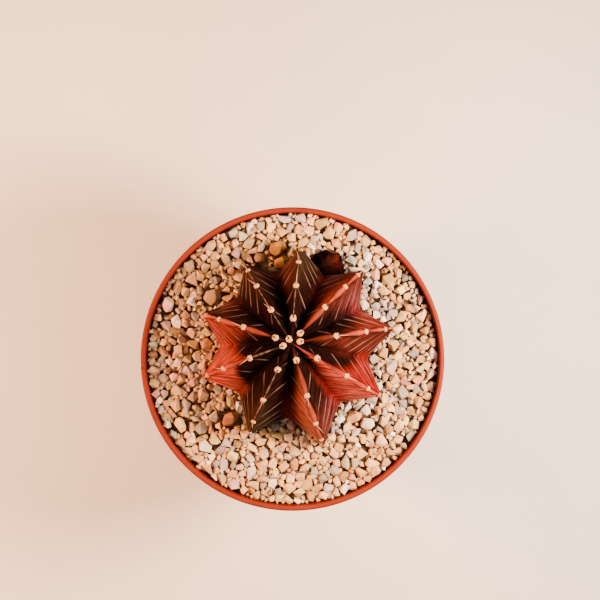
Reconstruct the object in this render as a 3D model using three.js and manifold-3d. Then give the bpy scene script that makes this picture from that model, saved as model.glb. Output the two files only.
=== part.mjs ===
// A chin cactus in a small terracotta-coloured plastic pot, top-dressed with stone chips.
// Millimetres, +Z up. The origin is the centre of the pot's underside, on the surface that it stands on.
import * as THREE from "three";
import { ConvexGeometry } from "three/addons/geometries/ConvexGeometry.js";
import { mergeVertices } from "three/addons/utils/BufferGeometryUtils.js";
import Module from "manifold-3d";

const wasm = await Module();
wasm.setup();

// ---------------------------------------------------------------- driving dimensions

const FIT_GAP = 0.3; // between pieces that touch

const POT = {
  height: 72,
  rimRadius: 42.5,
  rimWall: 1.4, // thickness of the lip seen from above
  edge: 0.5, // rounding of the lip and of the foot
  bandHeight: 11, // the collar under the lip
  bandStep: 1.3, // how far the collar stands out from the wall
  bandTaper: 0.35, // how much narrower the collar is at its lower edge
  wall: 1.3,
  footRadius: 29.5,
  footHeight: 3,
  footWall: 2.2,
  floor: 1.6,
  cove: 1.5, // fillet between the floor and the wall
  sides: 48,
};
const FLOOR = POT.footHeight + POT.floor; // the levels of the pot's floor, of the collar's lower edge
const COLLAR = POT.height - POT.bandHeight; // and of the foot of the step under the collar
const UNDER = COLLAR - POT.bandStep;
const DRAIN = { holes: 6, radius: 3.2, ring: 17.5, centre: 4, notches: 4, notchWidth: 9, notchHeight: 1.6 };
const SOIL = { top: 60, sides: 32 };
const GRAVEL = {
  bed: 67.3,
  bedRelief: 0.9,
  bedRings: 5,
  bedStep: 3.6,
  level: 69.6,
  spacing: 6.1,
  grain: 3.3, // half the size of a chip, which is larger than life
  corners: 7,
  shake: 0.34, // how far the chips stray from their grid, as a share of the spacing
  seed: 20,
};

// The body is an ellipse of revolution pulled out into ribs. Its meridian angle runs from 0 at the
// crown to a right angle at the widest level, in equal rows. Areoles come every nine rows on a rib,
// and a raised cross band slants up from each of them into the furrow.
const BODY = {
  centre: [0.7, 4.2],
  crownShift: [-0.9, 1.0], // the crown leans this far from the centre of the widest level
  crownDip: 0.6,
  widest: 73.5,
  crownHeight: 22,
  bellyHeight: 13,
  furrowReach: 20.8,
  furrowWidest: 120, // the meridian angle in degrees of the row that meets the furrow at its widest
  neckRadius: 7,
  rootLength: 15,
  rootRows: 3,
  rowsToWidest: 38,
  bandedRows: 44,
  lowerRows: 5,
  rowsPerAreole: 9,
  bandRelief: 0.34,
  chin: 0.8, // how far the rib swells between two areoles
  crestAtAreole: 0.25, // half width of the flat on top of the crest, at an areole
  crestBevel: 0.35, // how far the edges of that flat drop, as a share of its half width
};
const ROW = Math.PI / 2 / BODY.rowsToWidest;
const RIB_COLUMNS = 4; // a crest, the edge of its flat, the furrow and the edge of the next flat

// One line for each rib: its bearing in degrees, how far it reaches, the row of its first areole
// and the half width of the flat on its crest, where that is widest.
const RIBS = [
  { bearing: 9, reach: 27.6, firstRow: 2, flat: 0.95 },
  { bearing: 47, reach: 27.6, firstRow: 3, flat: 0.85 },
  { bearing: 86, reach: 26.8, firstRow: 6, flat: 0.35 },
  { bearing: 122, reach: 26.0, firstRow: 1, flat: 0.35 },
  { bearing: 162, reach: 26.8, firstRow: 4, flat: 0.85 },
  { bearing: 200, reach: 27.3, firstRow: 2, flat: 0.55 },
  { bearing: 243, reach: 28.1, firstRow: 7, flat: 0.35 },
  { bearing: 286, reach: 28.9, firstRow: 4, flat: 0.95 },
  { bearing: 329, reach: 28.0, firstRow: 7, flat: 0.65 },
];
const AREOLE = { radius: 0.9, flatness: 0.75, lastRow: 39, sides: 5 };
const SPINE = { radius: 0.27, length: 3.4, rise: 2.3, droop: 1.3, lean: 0.45 };
const OFFSET = { bearing: 68, reach: 23.4, radius: 4.5, height: 4.2, level: 66.6, ribs: 8, relief: 0.07 };

// Single stones that stand out among the chips: place, half sizes, turn in degrees and colour.
const STONES = [
  { name: "ochre_stone_large", at: [-4.3, 31.0], half: [2.9, 2.2, 2.2], turn: 18, colour: 0xa9743a },
  { name: "ochre_stone_small", at: [-3.2, 27.0], half: [2.7, 1.8, 1.9], turn: 35, colour: 0x9c6a38 },
  { name: "tan_pebble", at: [-9.3, 28.5], half: [1.9, 1.6, 1.6], turn: -10, colour: 0xa88052 },
  { name: "tan_slab", at: [-22.6, 17.4], half: [2.8, 2.4, 1.5], turn: 20, colour: 0xa98a62 },
  { name: "brown_stone", at: [-17.4, -16.8], half: [2.9, 2.1, 1.9], turn: 30, colour: 0x8a5a34 },
  { name: "pink_pebble", at: [-35.0, 15.2], half: [2.5, 2.1, 1.9], turn: 60, colour: 0xd9a99a },
  { name: "yellow_stone", at: [-31.5, -18.4], half: [2.5, 1.7, 1.6], turn: -70, colour: 0xd2b264 },
  { name: "pale_pebble", at: [21.2, -18.2], half: [2.3, 2.1, 1.8], turn: 10, colour: 0xdccbb4 },
];

const CACTUS_FINISH = { color: 0x6a2620, roughness: 0.6, metalness: 0 };
const GRAVEL_FINISH = { color: 0xcfb596, roughness: 0.9, metalness: 0 };
const POT_FINISH = { color: 0xb5583a, roughness: 0.55, metalness: 0 };
const SOIL_FINISH = { color: 0x2b1d14, roughness: 1, metalness: 0 };
const STONE_ROUGHNESS = 0.8;

const radians = THREE.MathUtils.degToRad;
const mix = THREE.MathUtils.lerp;

// ---------------------------------------------------------------- solids and helpers

/** A three.js geometry as a manifold-3d solid. */
function solidOf(geometry) {
  const bare = geometry.clone();
  bare.deleteAttribute("normal");
  bare.deleteAttribute("uv");
  const merged = mergeVertices(bare, 1e-4);
  const vertProperties = merged.attributes.position.array;
  const triVerts = new Uint32Array(merged.index.array);
  return new wasm.Manifold(new wasm.Mesh({ numProp: 3, vertProperties, triVerts }));
}

/** A manifold-3d solid as a three.js geometry with flat faces. */
function geometryOf(solid) {
  const mesh = solid.getMesh();
  const geometry = new THREE.BufferGeometry();
  geometry.setAttribute("position", new THREE.BufferAttribute(mesh.vertProperties, mesh.numProp));
  geometry.setIndex(new THREE.BufferAttribute(mesh.triVerts, 1));
  const faceted = geometry.toNonIndexed();
  faceted.computeVertexNormals();
  return faceted;
}

/** Solids joined into one, without the scraps that joining leaves loose. */
function joined(solids) {
  const bodies = wasm.Manifold.union(solids).decompose();
  return bodies.reduce((best, body) => (body.volume() > best.volume() ? body : best));
}

/** A lathe turned about +Z from [radius, height] pairs. */
function turned(profile, sides) {
  const points = profile.map(([radius, height]) => new THREE.Vector2(radius, height));
  return solidOf(new THREE.LatheGeometry(points, sides).rotateX(Math.PI / 2));
}

/** An upright round bar, for drilling. */
function bar(radius, length, sides, x, y, z) {
  const cylinder = new THREE.CylinderGeometry(radius, radius, length, sides);
  return solidOf(cylinder.rotateX(Math.PI / 2).translate(x, y, z));
}

/** A seeded draw of numbers from 0 to 1. */
function dice(seed) {
  let state = seed;
  return () => {
    state = (state + 0x6d2b79f5) | 0;
    let mixed = Math.imul(state ^ (state >>> 15), 1 | state);
    mixed = (mixed + Math.imul(mixed ^ (mixed >>> 7), 61 | mixed)) ^ mixed;
    return ((mixed ^ (mixed >>> 14)) >>> 0) / 4294967296;
  };
}

/** The unit vector of a bearing in radians, level with the ground. */
function heading(bearing) {
  return new THREE.Vector3(Math.cos(bearing), Math.sin(bearing), 0);
}

// ---------------------------------------------------------------- pot and soil

/** The outside radius of the pot's wall at a height below the collar. */
function potOutside(height) {
  return mix(POT.footRadius, POT.rimRadius - POT.bandStep, height / POT.height);
}

/** The inside radius of the pot at a height: the wall's taper, then the step out into the collar. */
function potInside(height) {
  const { rimWall, wall } = POT;
  if (height <= UNDER + wall) return potOutside(height) - wall;
  const lip = POT.rimRadius - rimWall;
  if (height >= COLLAR + wall) return lip - (POT.bandTaper * (POT.height - height)) / (POT.bandHeight - wall);
  const share = (height - UNDER - wall) / (COLLAR - UNDER);
  return mix(potOutside(UNDER + wall) - wall, lip - POT.bandTaper, share);
}

/** The pot's inner wall between two heights, as [radius, height] pairs held off by a gap. */
function innerWall(from, to, gap = FIT_GAP) {
  const knots = [UNDER + POT.wall, COLLAR + POT.wall].filter((level) => level > from && level < to);
  return [from, ...knots, to].map((level) => [potInside(level) - gap, level]);
}

function potProfile() {
  const { height, rimRadius, rimWall, edge, footRadius, footHeight, footWall, cove } = POT;
  return [
    [0, footHeight],
    [footRadius - footWall, footHeight],
    [footRadius - footWall, 0],
    [footRadius - edge, 0],
    [footRadius, edge],
    [potOutside(UNDER), UNDER],
    [rimRadius - POT.bandTaper, COLLAR],
    [rimRadius, height - edge],
    [rimRadius - edge, height],
    [rimRadius - rimWall + edge / 2, height],
    ...innerWall(FLOOR + cove, height - edge, 0).reverse(),
    [potInside(FLOOR) - cove, FLOOR],
    [0, FLOOR],
  ];
}

/** The holes in the floor and the notches in the foot ring that let water out. */
function drainCuts() {
  const through = 4 * POT.footHeight;
  const cuts = [bar(DRAIN.centre, through, 16, 0, 0, POT.footHeight)];
  for (let i = 0; i < DRAIN.holes; i++) {
    const { x, y } = heading((2 * Math.PI * i) / DRAIN.holes).multiplyScalar(DRAIN.ring);
    cuts.push(bar(DRAIN.radius, through, 16, x, y, POT.footHeight));
  }
  for (let i = 0; i < DRAIN.notches; i++) {
    const notch = new THREE.BoxGeometry(4 * POT.footWall, DRAIN.notchWidth, 2 * DRAIN.notchHeight);
    notch.translate(POT.footRadius, 0, 0).rotateZ((2 * Math.PI * (i + 0.5)) / DRAIN.notches);
    cuts.push(solidOf(notch));
  }
  return cuts;
}

function potSolid() {
  return turned(potProfile(), POT.sides).subtract(wasm.Manifold.union(drainCuts()));
}

/** The potting mix, from the pot's floor up to the stone chips, with a plain hole for the root. */
function soilSolid() {
  const bottom = FLOOR + FIT_GAP;
  const profile = [
    [0, bottom],
    [potInside(bottom) - POT.cove - FIT_GAP, bottom],
    ...innerWall(bottom + POT.cove, SOIL.top),
    [0, SOIL.top],
  ];
  const hole = bar(BODY.neckRadius + 2 * FIT_GAP, 2 * BODY.rootLength + 2, 20, ...BODY.centre, SOIL.top);
  return turned(profile, SOIL.sides).subtract(hole);
}

// ---------------------------------------------------------------- cactus body

/** Where the upright axis of the body is at a meridian angle. */
function axisAt(angle) {
  const lean = Math.max(0, Math.cos(angle));
  const [x, y] = BODY.centre;
  return new THREE.Vector3(x + BODY.crownShift[0] * lean, y + BODY.crownShift[1] * lean, 0);
}

/** The height of a meridian angle. */
function levelAt(angle) {
  return BODY.widest + (angle < Math.PI / 2 ? BODY.crownHeight : BODY.bellyHeight) * Math.cos(angle);
}

/** How far out a crest (power 1) or a furrow (power 2) is at a meridian angle. */
function reachAt(angle, reach, power) {
  const share = Math.max(0, Math.sin(angle));
  if (angle < Math.PI / 2) return reach * share ** power;
  return mix(BODY.neckRadius, reach, share ** 0.9);
}

/** How far an angle is past the last areole above it on a rib, from 0 to 1. */
function pastAreole(rib, angle) {
  const rows = angle / ROW - rib.firstRow + BODY.rowsPerAreole;
  return (rows % BODY.rowsPerAreole) / BODY.rowsPerAreole;
}

/** The direction off the surface at a crest. */
function crestNormal(rib, angle) {
  const out = heading(radians(rib.bearing)).multiplyScalar(Math.sin(angle));
  return out.setZ(Math.cos(angle));
}

/** A point on a crest line, which swells out into a chin between one areole and the next. */
function crestPoint(rib, angle, grow) {
  const fade = Math.min(1, 2 * Math.max(0, Math.sin(angle)));
  const swell = BODY.chin * fade * Math.sin(Math.PI * pastAreole(rib, angle) ** 0.8);
  const out = reachAt(angle, rib.reach - BODY.chin / 2, 1);
  const point = axisAt(angle).addScaledVector(heading(radians(rib.bearing)), out);
  return point.setZ(levelAt(angle)).addScaledVector(crestNormal(rib, angle), swell + grow);
}

/** The furrow's own meridian angle, which stays behind the crest's because the rows slant up to it. */
function furrowAngle(angle) {
  const widest = radians(BODY.furrowWidest);
  if (angle < widest) return Math.asin(Math.sqrt(Math.sin((Math.PI / 2) * (angle / widest))));
  return mix(Math.PI / 2, Math.PI, (angle - widest) / (Math.PI - widest));
}

/** A point at the bottom of the furrow between two ribs. */
function furrowPoint(rib, next, angle, grow) {
  const span = (next.bearing - rib.bearing + 360) % 360;
  const bearing = radians(rib.bearing + span / 2);
  const own = furrowAngle(angle);
  const out = reachAt(own, BODY.furrowReach, 2) + grow * Math.sin(own);
  const point = axisAt(own).addScaledVector(heading(bearing), out);
  return point.setZ(levelAt(own) + grow * Math.cos(own));
}

/** How far the raised cross band in the row of each areole lifts the flank. */
function bandRelief(rib, angle) {
  const row = Math.round(angle / ROW);
  if (row > BODY.bandedRows || (row - rib.firstRow) % BODY.rowsPerAreole !== 0) return 0;
  return BODY.bandRelief * Math.min(1, 2.5 * Math.sin(angle));
}

/** The edge of the flat on a crest, towards one side (1 or -1), where the cross bands start. */
function crestEdge(rib, side, angle, grow) {
  const widening = Math.sin(Math.PI * pastAreole(rib, angle) ** 1.8);
  const fade = Math.min(1, 4 * Math.sin(angle));
  const half = mix(BODY.crestAtAreole, rib.flat, widening) * fade + grow;
  const sideways = heading(radians(rib.bearing) + (side * Math.PI) / 2);
  return crestPoint(rib, angle, grow)
    .addScaledVector(sideways, half + bandRelief(rib, angle))
    .addScaledVector(crestNormal(rib, angle), -BODY.crestBevel * half);
}

/** A point of the body: column counts round it from the crest of the first rib, four to a rib. */
function bodyPoint(column, angle, grow) {
  const rib = RIBS[Math.floor(column / RIB_COLUMNS)];
  const next = RIBS[(RIBS.indexOf(rib) + 1) % RIBS.length];
  return [
    () => crestPoint(rib, angle, grow),
    () => crestEdge(rib, 1, angle, grow),
    () => furrowPoint(rib, next, angle, grow),
    () => crestEdge(next, -1, angle, grow),
  ][column % RIB_COLUMNS]();
}

/** The meridian angles of the body's rows, fine where the bands are and coarse under the gravel. */
function bodyAngles() {
  const last = BODY.bandedRows * ROW;
  const banded = Array.from({ length: BODY.bandedRows + 1 }, (_, row) => row * ROW);
  const lower = Array.from({ length: BODY.lowerRows }, (_, i) => mix(last, Math.PI, (i + 1) / BODY.lowerRows));
  return [...banded, ...lower];
}

/** A point of the blunt root, down from 0 at the neck to 1 at its tip. */
function rootPoint(column, columns, down, grow) {
  const bearing = radians(RIBS[0].bearing) + (2 * Math.PI * column) / columns;
  const out = (BODY.neckRadius + grow) * (1 - down ** 1.6);
  const point = new THREE.Vector3(...BODY.centre, 0).addScaledVector(heading(bearing), out);
  return point.setZ(BODY.widest - BODY.bellyHeight - BODY.rootLength * down - grow);
}

/** The ribbed body with its root: the grid of a sphere laid over the ribs. */
function bodySolid(grow) {
  const columns = RIBS.length * RIB_COLUMNS;
  const angles = bodyAngles();
  const rows = angles.length - 1 + BODY.rootRows;
  const crown = axisAt(0).setZ(levelAt(0) - BODY.crownDip + grow);
  const geometry = new THREE.SphereGeometry(1, columns, rows);
  const { position, uv } = geometry.attributes;
  for (let i = 0; i < position.count; i++) {
    const row = Math.round((1 - uv.getY(i)) * rows);
    const column = Math.floor(uv.getX(i) * columns + 0.25) % columns;
    const down = (row - angles.length + 1) / BODY.rootRows;
    let point = crown;
    if (down > 0) point = rootPoint(column, columns, down, grow);
    else if (row > 0) point = bodyPoint(column, angles[row], grow);
    position.setXYZ(i, point.x, point.y, point.z);
  }
  return solidOf(geometry);
}

// ---------------------------------------------------------------- areoles, spines and offset

/** Every areole: its place and the directions down the rib, across it and off it. */
function areoles() {
  const found = [];
  for (const rib of RIBS)
    for (let row = rib.firstRow; row <= AREOLE.lastRow; row += BODY.rowsPerAreole) {
      const out = crestNormal(rib, row * ROW);
      const side = heading(radians(rib.bearing) + Math.PI / 2);
      const down = new THREE.Vector3().crossVectors(side, out);
      const lean = found.length % 2 ? SPINE.lean : -SPINE.lean;
      found.push({ at: crestPoint(rib, row * ROW, 0), down, side, out, lean });
    }
  return found;
}

/** One woolly pad, a low dome sunk into the crest. */
function padSolid({ at, down, side, out }, grow) {
  const dome = new THREE.SphereGeometry(AREOLE.radius + grow, AREOLE.sides, 3).rotateX(Math.PI / 2);
  const turn = new THREE.Matrix4().makeBasis(down, side, out).setPosition(at);
  return solidOf(dome.scale(1, 1, AREOLE.flatness).applyMatrix4(turn));
}

/** One three-sided spine that leaves its pad down the rib and curls back towards it. */
function spineSolid({ at, down, side, out, lean }, grow) {
  const along = down.clone().multiplyScalar(Math.cos(lean)).addScaledVector(side, Math.sin(lean));
  const across = new THREE.Vector3().crossVectors(along, out);
  const cone = new THREE.ConeGeometry(SPINE.radius + grow, SPINE.length + 2 * grow, 3, 2);
  cone.translate(0, SPINE.length / 2, 0);
  const { position } = cone.attributes;
  for (let i = 0; i < position.count; i++) {
    const far = Math.max(0, position.getY(i)) / SPINE.length;
    position.setZ(i, position.getZ(i) + SPINE.rise * far - SPINE.droop * far * far);
  }
  const turn = new THREE.Matrix4().makeBasis(across, along, out).setPosition(at);
  return solidOf(cone.applyMatrix4(turn));
}

/** The young offset at the foot of the plant, a small ribbed ball. */
function offsetSolid(grow) {
  const ball = new THREE.SphereGeometry(1, 2 * OFFSET.ribs, 8).rotateX(Math.PI / 2);
  const centre = new THREE.Vector3(...BODY.centre, 0);
  centre.addScaledVector(heading(radians(OFFSET.bearing)), OFFSET.reach);
  const { position } = ball.attributes;
  for (let i = 0; i < position.count; i++) {
    const turn = Math.atan2(position.getY(i), position.getX(i));
    const radius = (OFFSET.radius + grow) * (1 + OFFSET.relief * Math.cos(OFFSET.ribs * turn));
    const x = centre.x + radius * position.getX(i);
    const y = centre.y + radius * position.getY(i);
    position.setXYZ(i, x, y, OFFSET.level + (OFFSET.height + grow) * position.getZ(i));
  }
  return solidOf(ball);
}

/** The whole plant, or the room that it takes when it is grown by a gap. */
function cactusSolid(grow = 0) {
  const tufts = areoles().flatMap((pad) => [padSolid(pad, grow), spineSolid(pad, grow)]);
  return joined([bodySolid(grow), offsetSolid(grow), ...tufts]);
}

// ---------------------------------------------------------------- gravel and stones

/** The corners of a rough pebble, spread evenly over an ellipsoid and shaken. */
function pebbleCorners(draw, half, count, shake) {
  const golden = Math.PI * (3 - Math.sqrt(5));
  return Array.from({ length: count }, (_, i) => {
    const level = 1 - (2 * (i + 0.5)) / count;
    const corner = heading(golden * i + shake * draw()).multiplyScalar(Math.sqrt(1 - level * level));
    return corner.setZ(level).multiply(new THREE.Vector3(...half)).multiplyScalar(1 + shake * (draw() - 0.5));
  });
}

/** How far a place is from the body's axis, as a share of the body's reach in that direction. */
function shareOfReach(x, y) {
  const [dx, dy] = [x - BODY.centre[0], y - BODY.centre[1]];
  const bearing = THREE.MathUtils.radToDeg(Math.atan2(dy, dx));
  const off = Math.min(...RIBS.map((rib) => Math.abs(((bearing - rib.bearing + 900) % 360) - 180)));
  return Math.hypot(dx, dy) / mix(27.5, BODY.furrowReach, Math.min(1, off / 20));
}

/** Whether a chip may lie at a place: clear of the body and out of the offset's hollow. */
function hasRoom(x, y) {
  const hollow = new THREE.Vector3(...BODY.centre, 0);
  hollow.addScaledVector(heading(radians(OFFSET.bearing)), OFFSET.reach);
  return shareOfReach(x, y) > 0.92 && Math.hypot(x - hollow.x, y - hollow.y) > OFFSET.radius + 1;
}

/** Every angular chip of the top dressing, on a shaken triangular grid. */
function chipSolids() {
  const draw = dice(GRAVEL.seed);
  const chips = [];
  const reach = Math.ceil(POT.rimRadius / GRAVEL.spacing) + 2;
  for (let row = -reach; row <= reach; row++)
    for (let column = -reach; column <= reach; column++) {
      const x = (column + (row % 2 ? 0.5 : 0) + GRAVEL.shake * (draw() - 0.5)) * GRAVEL.spacing;
      const y = (row + GRAVEL.shake * (draw() - 0.5)) * GRAVEL.spacing * Math.sin(Math.PI / 3);
      const half = [1, 1, 0.85].map((size) => size * GRAVEL.grain * mix(0.75, 1.15, draw()));
      const corners = pebbleCorners(draw, half, GRAVEL.corners, 0.5);
      const turn = new THREE.Euler(draw() - 0.5, draw() - 0.5, 2 * Math.PI * draw());
      const chip = new ConvexGeometry(corners.map((corner) => corner.applyEuler(turn)));
      const wall = potInside(GRAVEL.level) - Math.max(...half) * 0.85;
      const away = Math.hypot(x, y);
      if (away > wall + 0.45 * GRAVEL.spacing || !hasRoom(x, y)) continue;
      const pull = Math.min(1, wall / away);
      chips.push(solidOf(chip.translate(x * pull, y * pull, GRAVEL.level - half[2] + 0.8 * draw())));
    }
  return chips;
}

/** The small chips that fill in between and under the large ones: a disc with a rough top. */
function bedSolid(base) {
  const wall = potInside(GRAVEL.bed) - FIT_GAP;
  const rings = Array.from({ length: GRAVEL.bedRings }, (_, i) => wall - (i + 0.6) * GRAVEL.bedStep);
  const profile = [[0, base], ...innerWall(base, GRAVEL.bed), ...rings.map((ring) => [ring, GRAVEL.bed])];
  const points = [...profile, [0, GRAVEL.bed]].map(([radius, height]) => new THREE.Vector2(radius, height));
  const disc = new THREE.LatheGeometry(points, POT.sides).rotateX(Math.PI / 2);
  const { position } = disc.attributes;
  for (let i = 0; i < position.count; i++) {
    if (Math.abs(position.getZ(i) - GRAVEL.bed) > 0.01) continue;
    const rough = Math.sin(5 * position.getX(i) + 3 * position.getY(i));
    position.setZ(i, GRAVEL.bed + GRAVEL.bedRelief * rough);
  }
  return solidOf(disc);
}

/** The chips on their bed, inside the pot's wall and clear of the plant and the single stones. */
function gravelSolid() {
  const base = SOIL.top + FIT_GAP;
  const room = turned([[0, base], ...innerWall(base, POT.height), [0, POT.height]], POT.sides);
  const heap = wasm.Manifold.union([bedSolid(base), ...chipSolids()]).intersect(room);
  const stones = STONES.map((stone) => stoneSolid(stone, FIT_GAP));
  return joined([heap.subtract(wasm.Manifold.union([cactusSolid(1.5 * FIT_GAP), ...stones]))]);
}

/** One of the single stones, bedded in the chips. */
function stoneSolid({ at, half, turn }, grow = 0) {
  const draw = dice(Math.round(100 * Math.hypot(...at)));
  const grown = half.map((size) => size + grow);
  const stone = new ConvexGeometry(pebbleCorners(draw, grown, 13, 0.25)).rotateZ(radians(turn));
  return solidOf(stone.translate(...at, GRAVEL.level));
}

// ---------------------------------------------------------------- the group

function piece(name, solid, finish) {
  const mesh = new THREE.Mesh(geometryOf(solid), new THREE.MeshStandardMaterial(finish));
  mesh.name = name;
  return mesh;
}

function stonePiece(stone) {
  const finish = { color: stone.colour, roughness: STONE_ROUGHNESS, metalness: 0 };
  return piece(stone.name, stoneSolid(stone), finish);
}

const chinCactus = new THREE.Group();
chinCactus.add(
  piece("pot", potSolid(), POT_FINISH),
  piece("soil", soilSolid(), SOIL_FINISH),
  piece("gravel", gravelSolid(), GRAVEL_FINISH),
  piece("cactus", cactusSolid(), CACTUS_FINISH),
  ...STONES.map(stonePiece),
);

export default chinCactus;
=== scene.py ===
"""A chin cactus in a small terracotta-coloured plastic pot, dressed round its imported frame.

Lengths are in metres and +Z is up. The pot stands on the floor, centred on the origin.
"""

import logging
import math
from dataclasses import dataclass, field
from enum import Enum
from typing import Sequence

import bmesh
import bpy
import numpy as np
from mathutils import Euler, Matrix, Vector, noise


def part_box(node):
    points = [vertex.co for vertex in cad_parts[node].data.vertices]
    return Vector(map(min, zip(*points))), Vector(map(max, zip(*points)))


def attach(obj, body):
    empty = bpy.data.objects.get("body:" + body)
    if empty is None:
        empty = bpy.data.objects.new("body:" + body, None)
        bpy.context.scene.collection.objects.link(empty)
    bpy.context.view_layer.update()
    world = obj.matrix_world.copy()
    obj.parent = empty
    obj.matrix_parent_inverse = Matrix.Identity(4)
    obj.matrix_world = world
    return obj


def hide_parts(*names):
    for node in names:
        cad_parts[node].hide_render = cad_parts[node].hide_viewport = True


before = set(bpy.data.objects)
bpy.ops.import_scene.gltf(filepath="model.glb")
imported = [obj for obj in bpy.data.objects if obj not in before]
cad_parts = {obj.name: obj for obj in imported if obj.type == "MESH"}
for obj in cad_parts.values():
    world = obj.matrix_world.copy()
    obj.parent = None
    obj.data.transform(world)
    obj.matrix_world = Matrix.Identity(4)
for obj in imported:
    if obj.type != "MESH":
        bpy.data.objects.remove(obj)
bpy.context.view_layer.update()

log = logging.getLogger("chin_cactus")

MM = 0.001
BODY = "root"  # the one body that everything rides on
ALL_SMOOTH = 180.0  # in degrees: no edge is left sharp
WELD = 0.002 * MM  # points closer than this become one
TINY = 1e-12  # keeps a division from failing
FILLET_CHORDS = 4
SKIN_VALUES = ("band", "strand", "pigment", "scuff")  # what the skin's material reads
Triple = tuple[float, float, float]
Colour = Triple


# ---------------------------------------------------------------- numbers and meshes


def mix(low: np.ndarray | float, high: np.ndarray | float, share: np.ndarray | float) -> np.ndarray | float:
    """Goes from low to high as the share goes from 0 to 1."""
    return low + (high - low) * share


def smoothstep(low: float, high: float, value: np.ndarray | float) -> np.ndarray:
    """Rises softly from 0 at low to 1 at high."""
    share = np.clip((np.asarray(value, float) - low) / (high - low), 0, 1)
    return share * share * (3 - 2 * share)


def heading(bearing: np.ndarray | float) -> np.ndarray:
    """The level unit vector of a bearing in radians, along a new last axis."""
    return np.stack([np.cos(bearing), np.sin(bearing), np.zeros_like(bearing)], axis=-1)


def toward(degrees: float) -> Vector:
    """The level unit vector of a bearing in degrees."""
    return Vector(heading(np.array(math.radians(degrees))))


def rounded_outline(corners: Sequence[Triple]) -> list[Vector]:
    """Rounds the corners of a half profile.

    Args:
        corners: radius, height and fillet radius of each corner, from one end to the other.

    Returns:
        The points of the profile in the plane y = 0.
    """
    points = []
    for i, (radius, height, fillet) in enumerate(corners):
        here = Vector((radius, 0, height))
        if fillet == 0:
            points.append(here)
            continue
        neighbours = (corners[i - 1], corners[i + 1])
        back, ahead = ((Vector((out, 0, up)) - here).normalized() for out, up, _ in neighbours)
        half = back.angle(ahead) / 2
        centre = here + (back + ahead).normalized() * (fillet / math.sin(half))
        start, end = ((here + way * (fillet / math.tan(half)) - centre).normalized() for way in (back, ahead))
        points += [centre + fillet * start.slerp(end, k / FILLET_CHORDS) for k in range(FILLET_CHORDS + 1)]
    return points


def firmed(points: Sequence[Vector], margin: float) -> list[Vector]:
    """Adds a point close to both ends of each long stretch, which keeps the soft shading of a corner near it.

    Args:
        points: a profile.
        margin: how far the new points are from the ends.

    Returns:
        The profile with the new points.
    """
    firm = [points[0]]
    for here, ahead in zip(points, points[1:]):
        aside = (ahead - here).normalized() * margin
        if (ahead - here).length > 4 * margin:
            firm += [here + aside, ahead - aside]
        firm.append(ahead)
    return firm


def turned(profile: Sequence[Vector], steps: int) -> bmesh.types.BMesh:
    """Spins a half profile round +Z into a closed shell.

    Args:
        profile: its points, which start and end on the axis.
        steps: how many steps go round.

    Returns:
        The shell, with its faces outwards.
    """
    bm = bmesh.new()
    verts = [bm.verts.new(point) for point in profile]
    edges = [bm.edges.new(pair) for pair in zip(verts, verts[1:])]
    bmesh.ops.spin(
        bm, geom=verts + edges, cent=(0, 0, 0), axis=(0, 0, 1), angle=2 * math.pi, steps=steps, use_merge=True
    )
    bmesh.ops.remove_doubles(bm, verts=bm.verts, dist=WELD)
    bmesh.ops.recalc_face_normals(bm, faces=bm.faces)
    return bm


def mesh_of(bm: bmesh.types.BMesh, name: str, smooth_under: float | None = None) -> bpy.types.Mesh:
    """Turns a bmesh into a mesh and frees it.

    Args:
        bm: the shape.
        name: the new mesh's name.
        smooth_under: edges flatter than this many degrees are shaded smooth; None leaves every face flat.

    Returns:
        The mesh.
    """
    mesh = bpy.data.meshes.new(name)
    bm.to_mesh(mesh)
    bm.free()
    if smooth_under is None:
        mesh.shade_flat()
    else:
        mesh.shade_smooth()
        mesh.set_sharp_from_angle(angle=math.radians(smooth_under))
    return mesh


def into_scene(name: str, data: bpy.types.ID) -> bpy.types.Object:
    """Makes an object of a mesh, a lamp or a camera and puts it in the scene.

    Args:
        name: the object's name.
        data: what it shows.

    Returns:
        The object.
    """
    made = bpy.data.objects.new(name, data)
    bpy.context.scene.collection.objects.link(made)
    return made


def cut(mesh: bpy.types.Mesh, tool: bpy.types.Mesh) -> bpy.types.Mesh:
    """Cuts one closed mesh out of another.

    Args:
        mesh: what is cut.
        tool: what is taken away, which is deleted afterwards.

    Returns:
        What is left, as a new mesh.
    """
    block, cutter = (into_scene(shape.name, shape) for shape in (mesh, tool))
    boolean = block.modifiers.new("cut", "BOOLEAN")
    boolean.object = cutter
    boolean.operation = "DIFFERENCE"
    boolean.solver = "MANIFOLD"
    left = bpy.data.meshes.new_from_object(block.evaluated_get(bpy.context.evaluated_depsgraph_get()))
    left.name = mesh.name
    for obj in (block, cutter):
        bpy.data.objects.remove(obj)
    bpy.data.meshes.remove(tool)
    return left


def keep_values(mesh: bpy.types.Mesh, name: str, values: np.ndarray) -> None:
    """Keeps values at the vertices, for the material to read.

    Args:
        mesh: where they are kept.
        name: what they are kept under.
        values: one number or one colour for each vertex.
    """
    if values.ndim == 1:
        mesh.attributes.new(name, "FLOAT", "POINT").data.foreach_set("value", values.astype(np.float32))
        return
    rgba = np.column_stack([values, np.ones(len(values))]).astype(np.float32)
    mesh.attributes.new(name, "FLOAT_COLOR", "POINT").data.foreach_set("color", rgba.ravel())


def positions(mesh: bpy.types.Mesh) -> np.ndarray:
    """Finds every vertex's place.

    Args:
        mesh: whose vertices.

    Returns:
        The places, one row each.
    """
    flat = np.empty(3 * len(mesh.vertices), np.float32)
    mesh.vertices.foreach_get("co", flat)
    return flat.reshape(-1, 3).astype(float)


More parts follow.
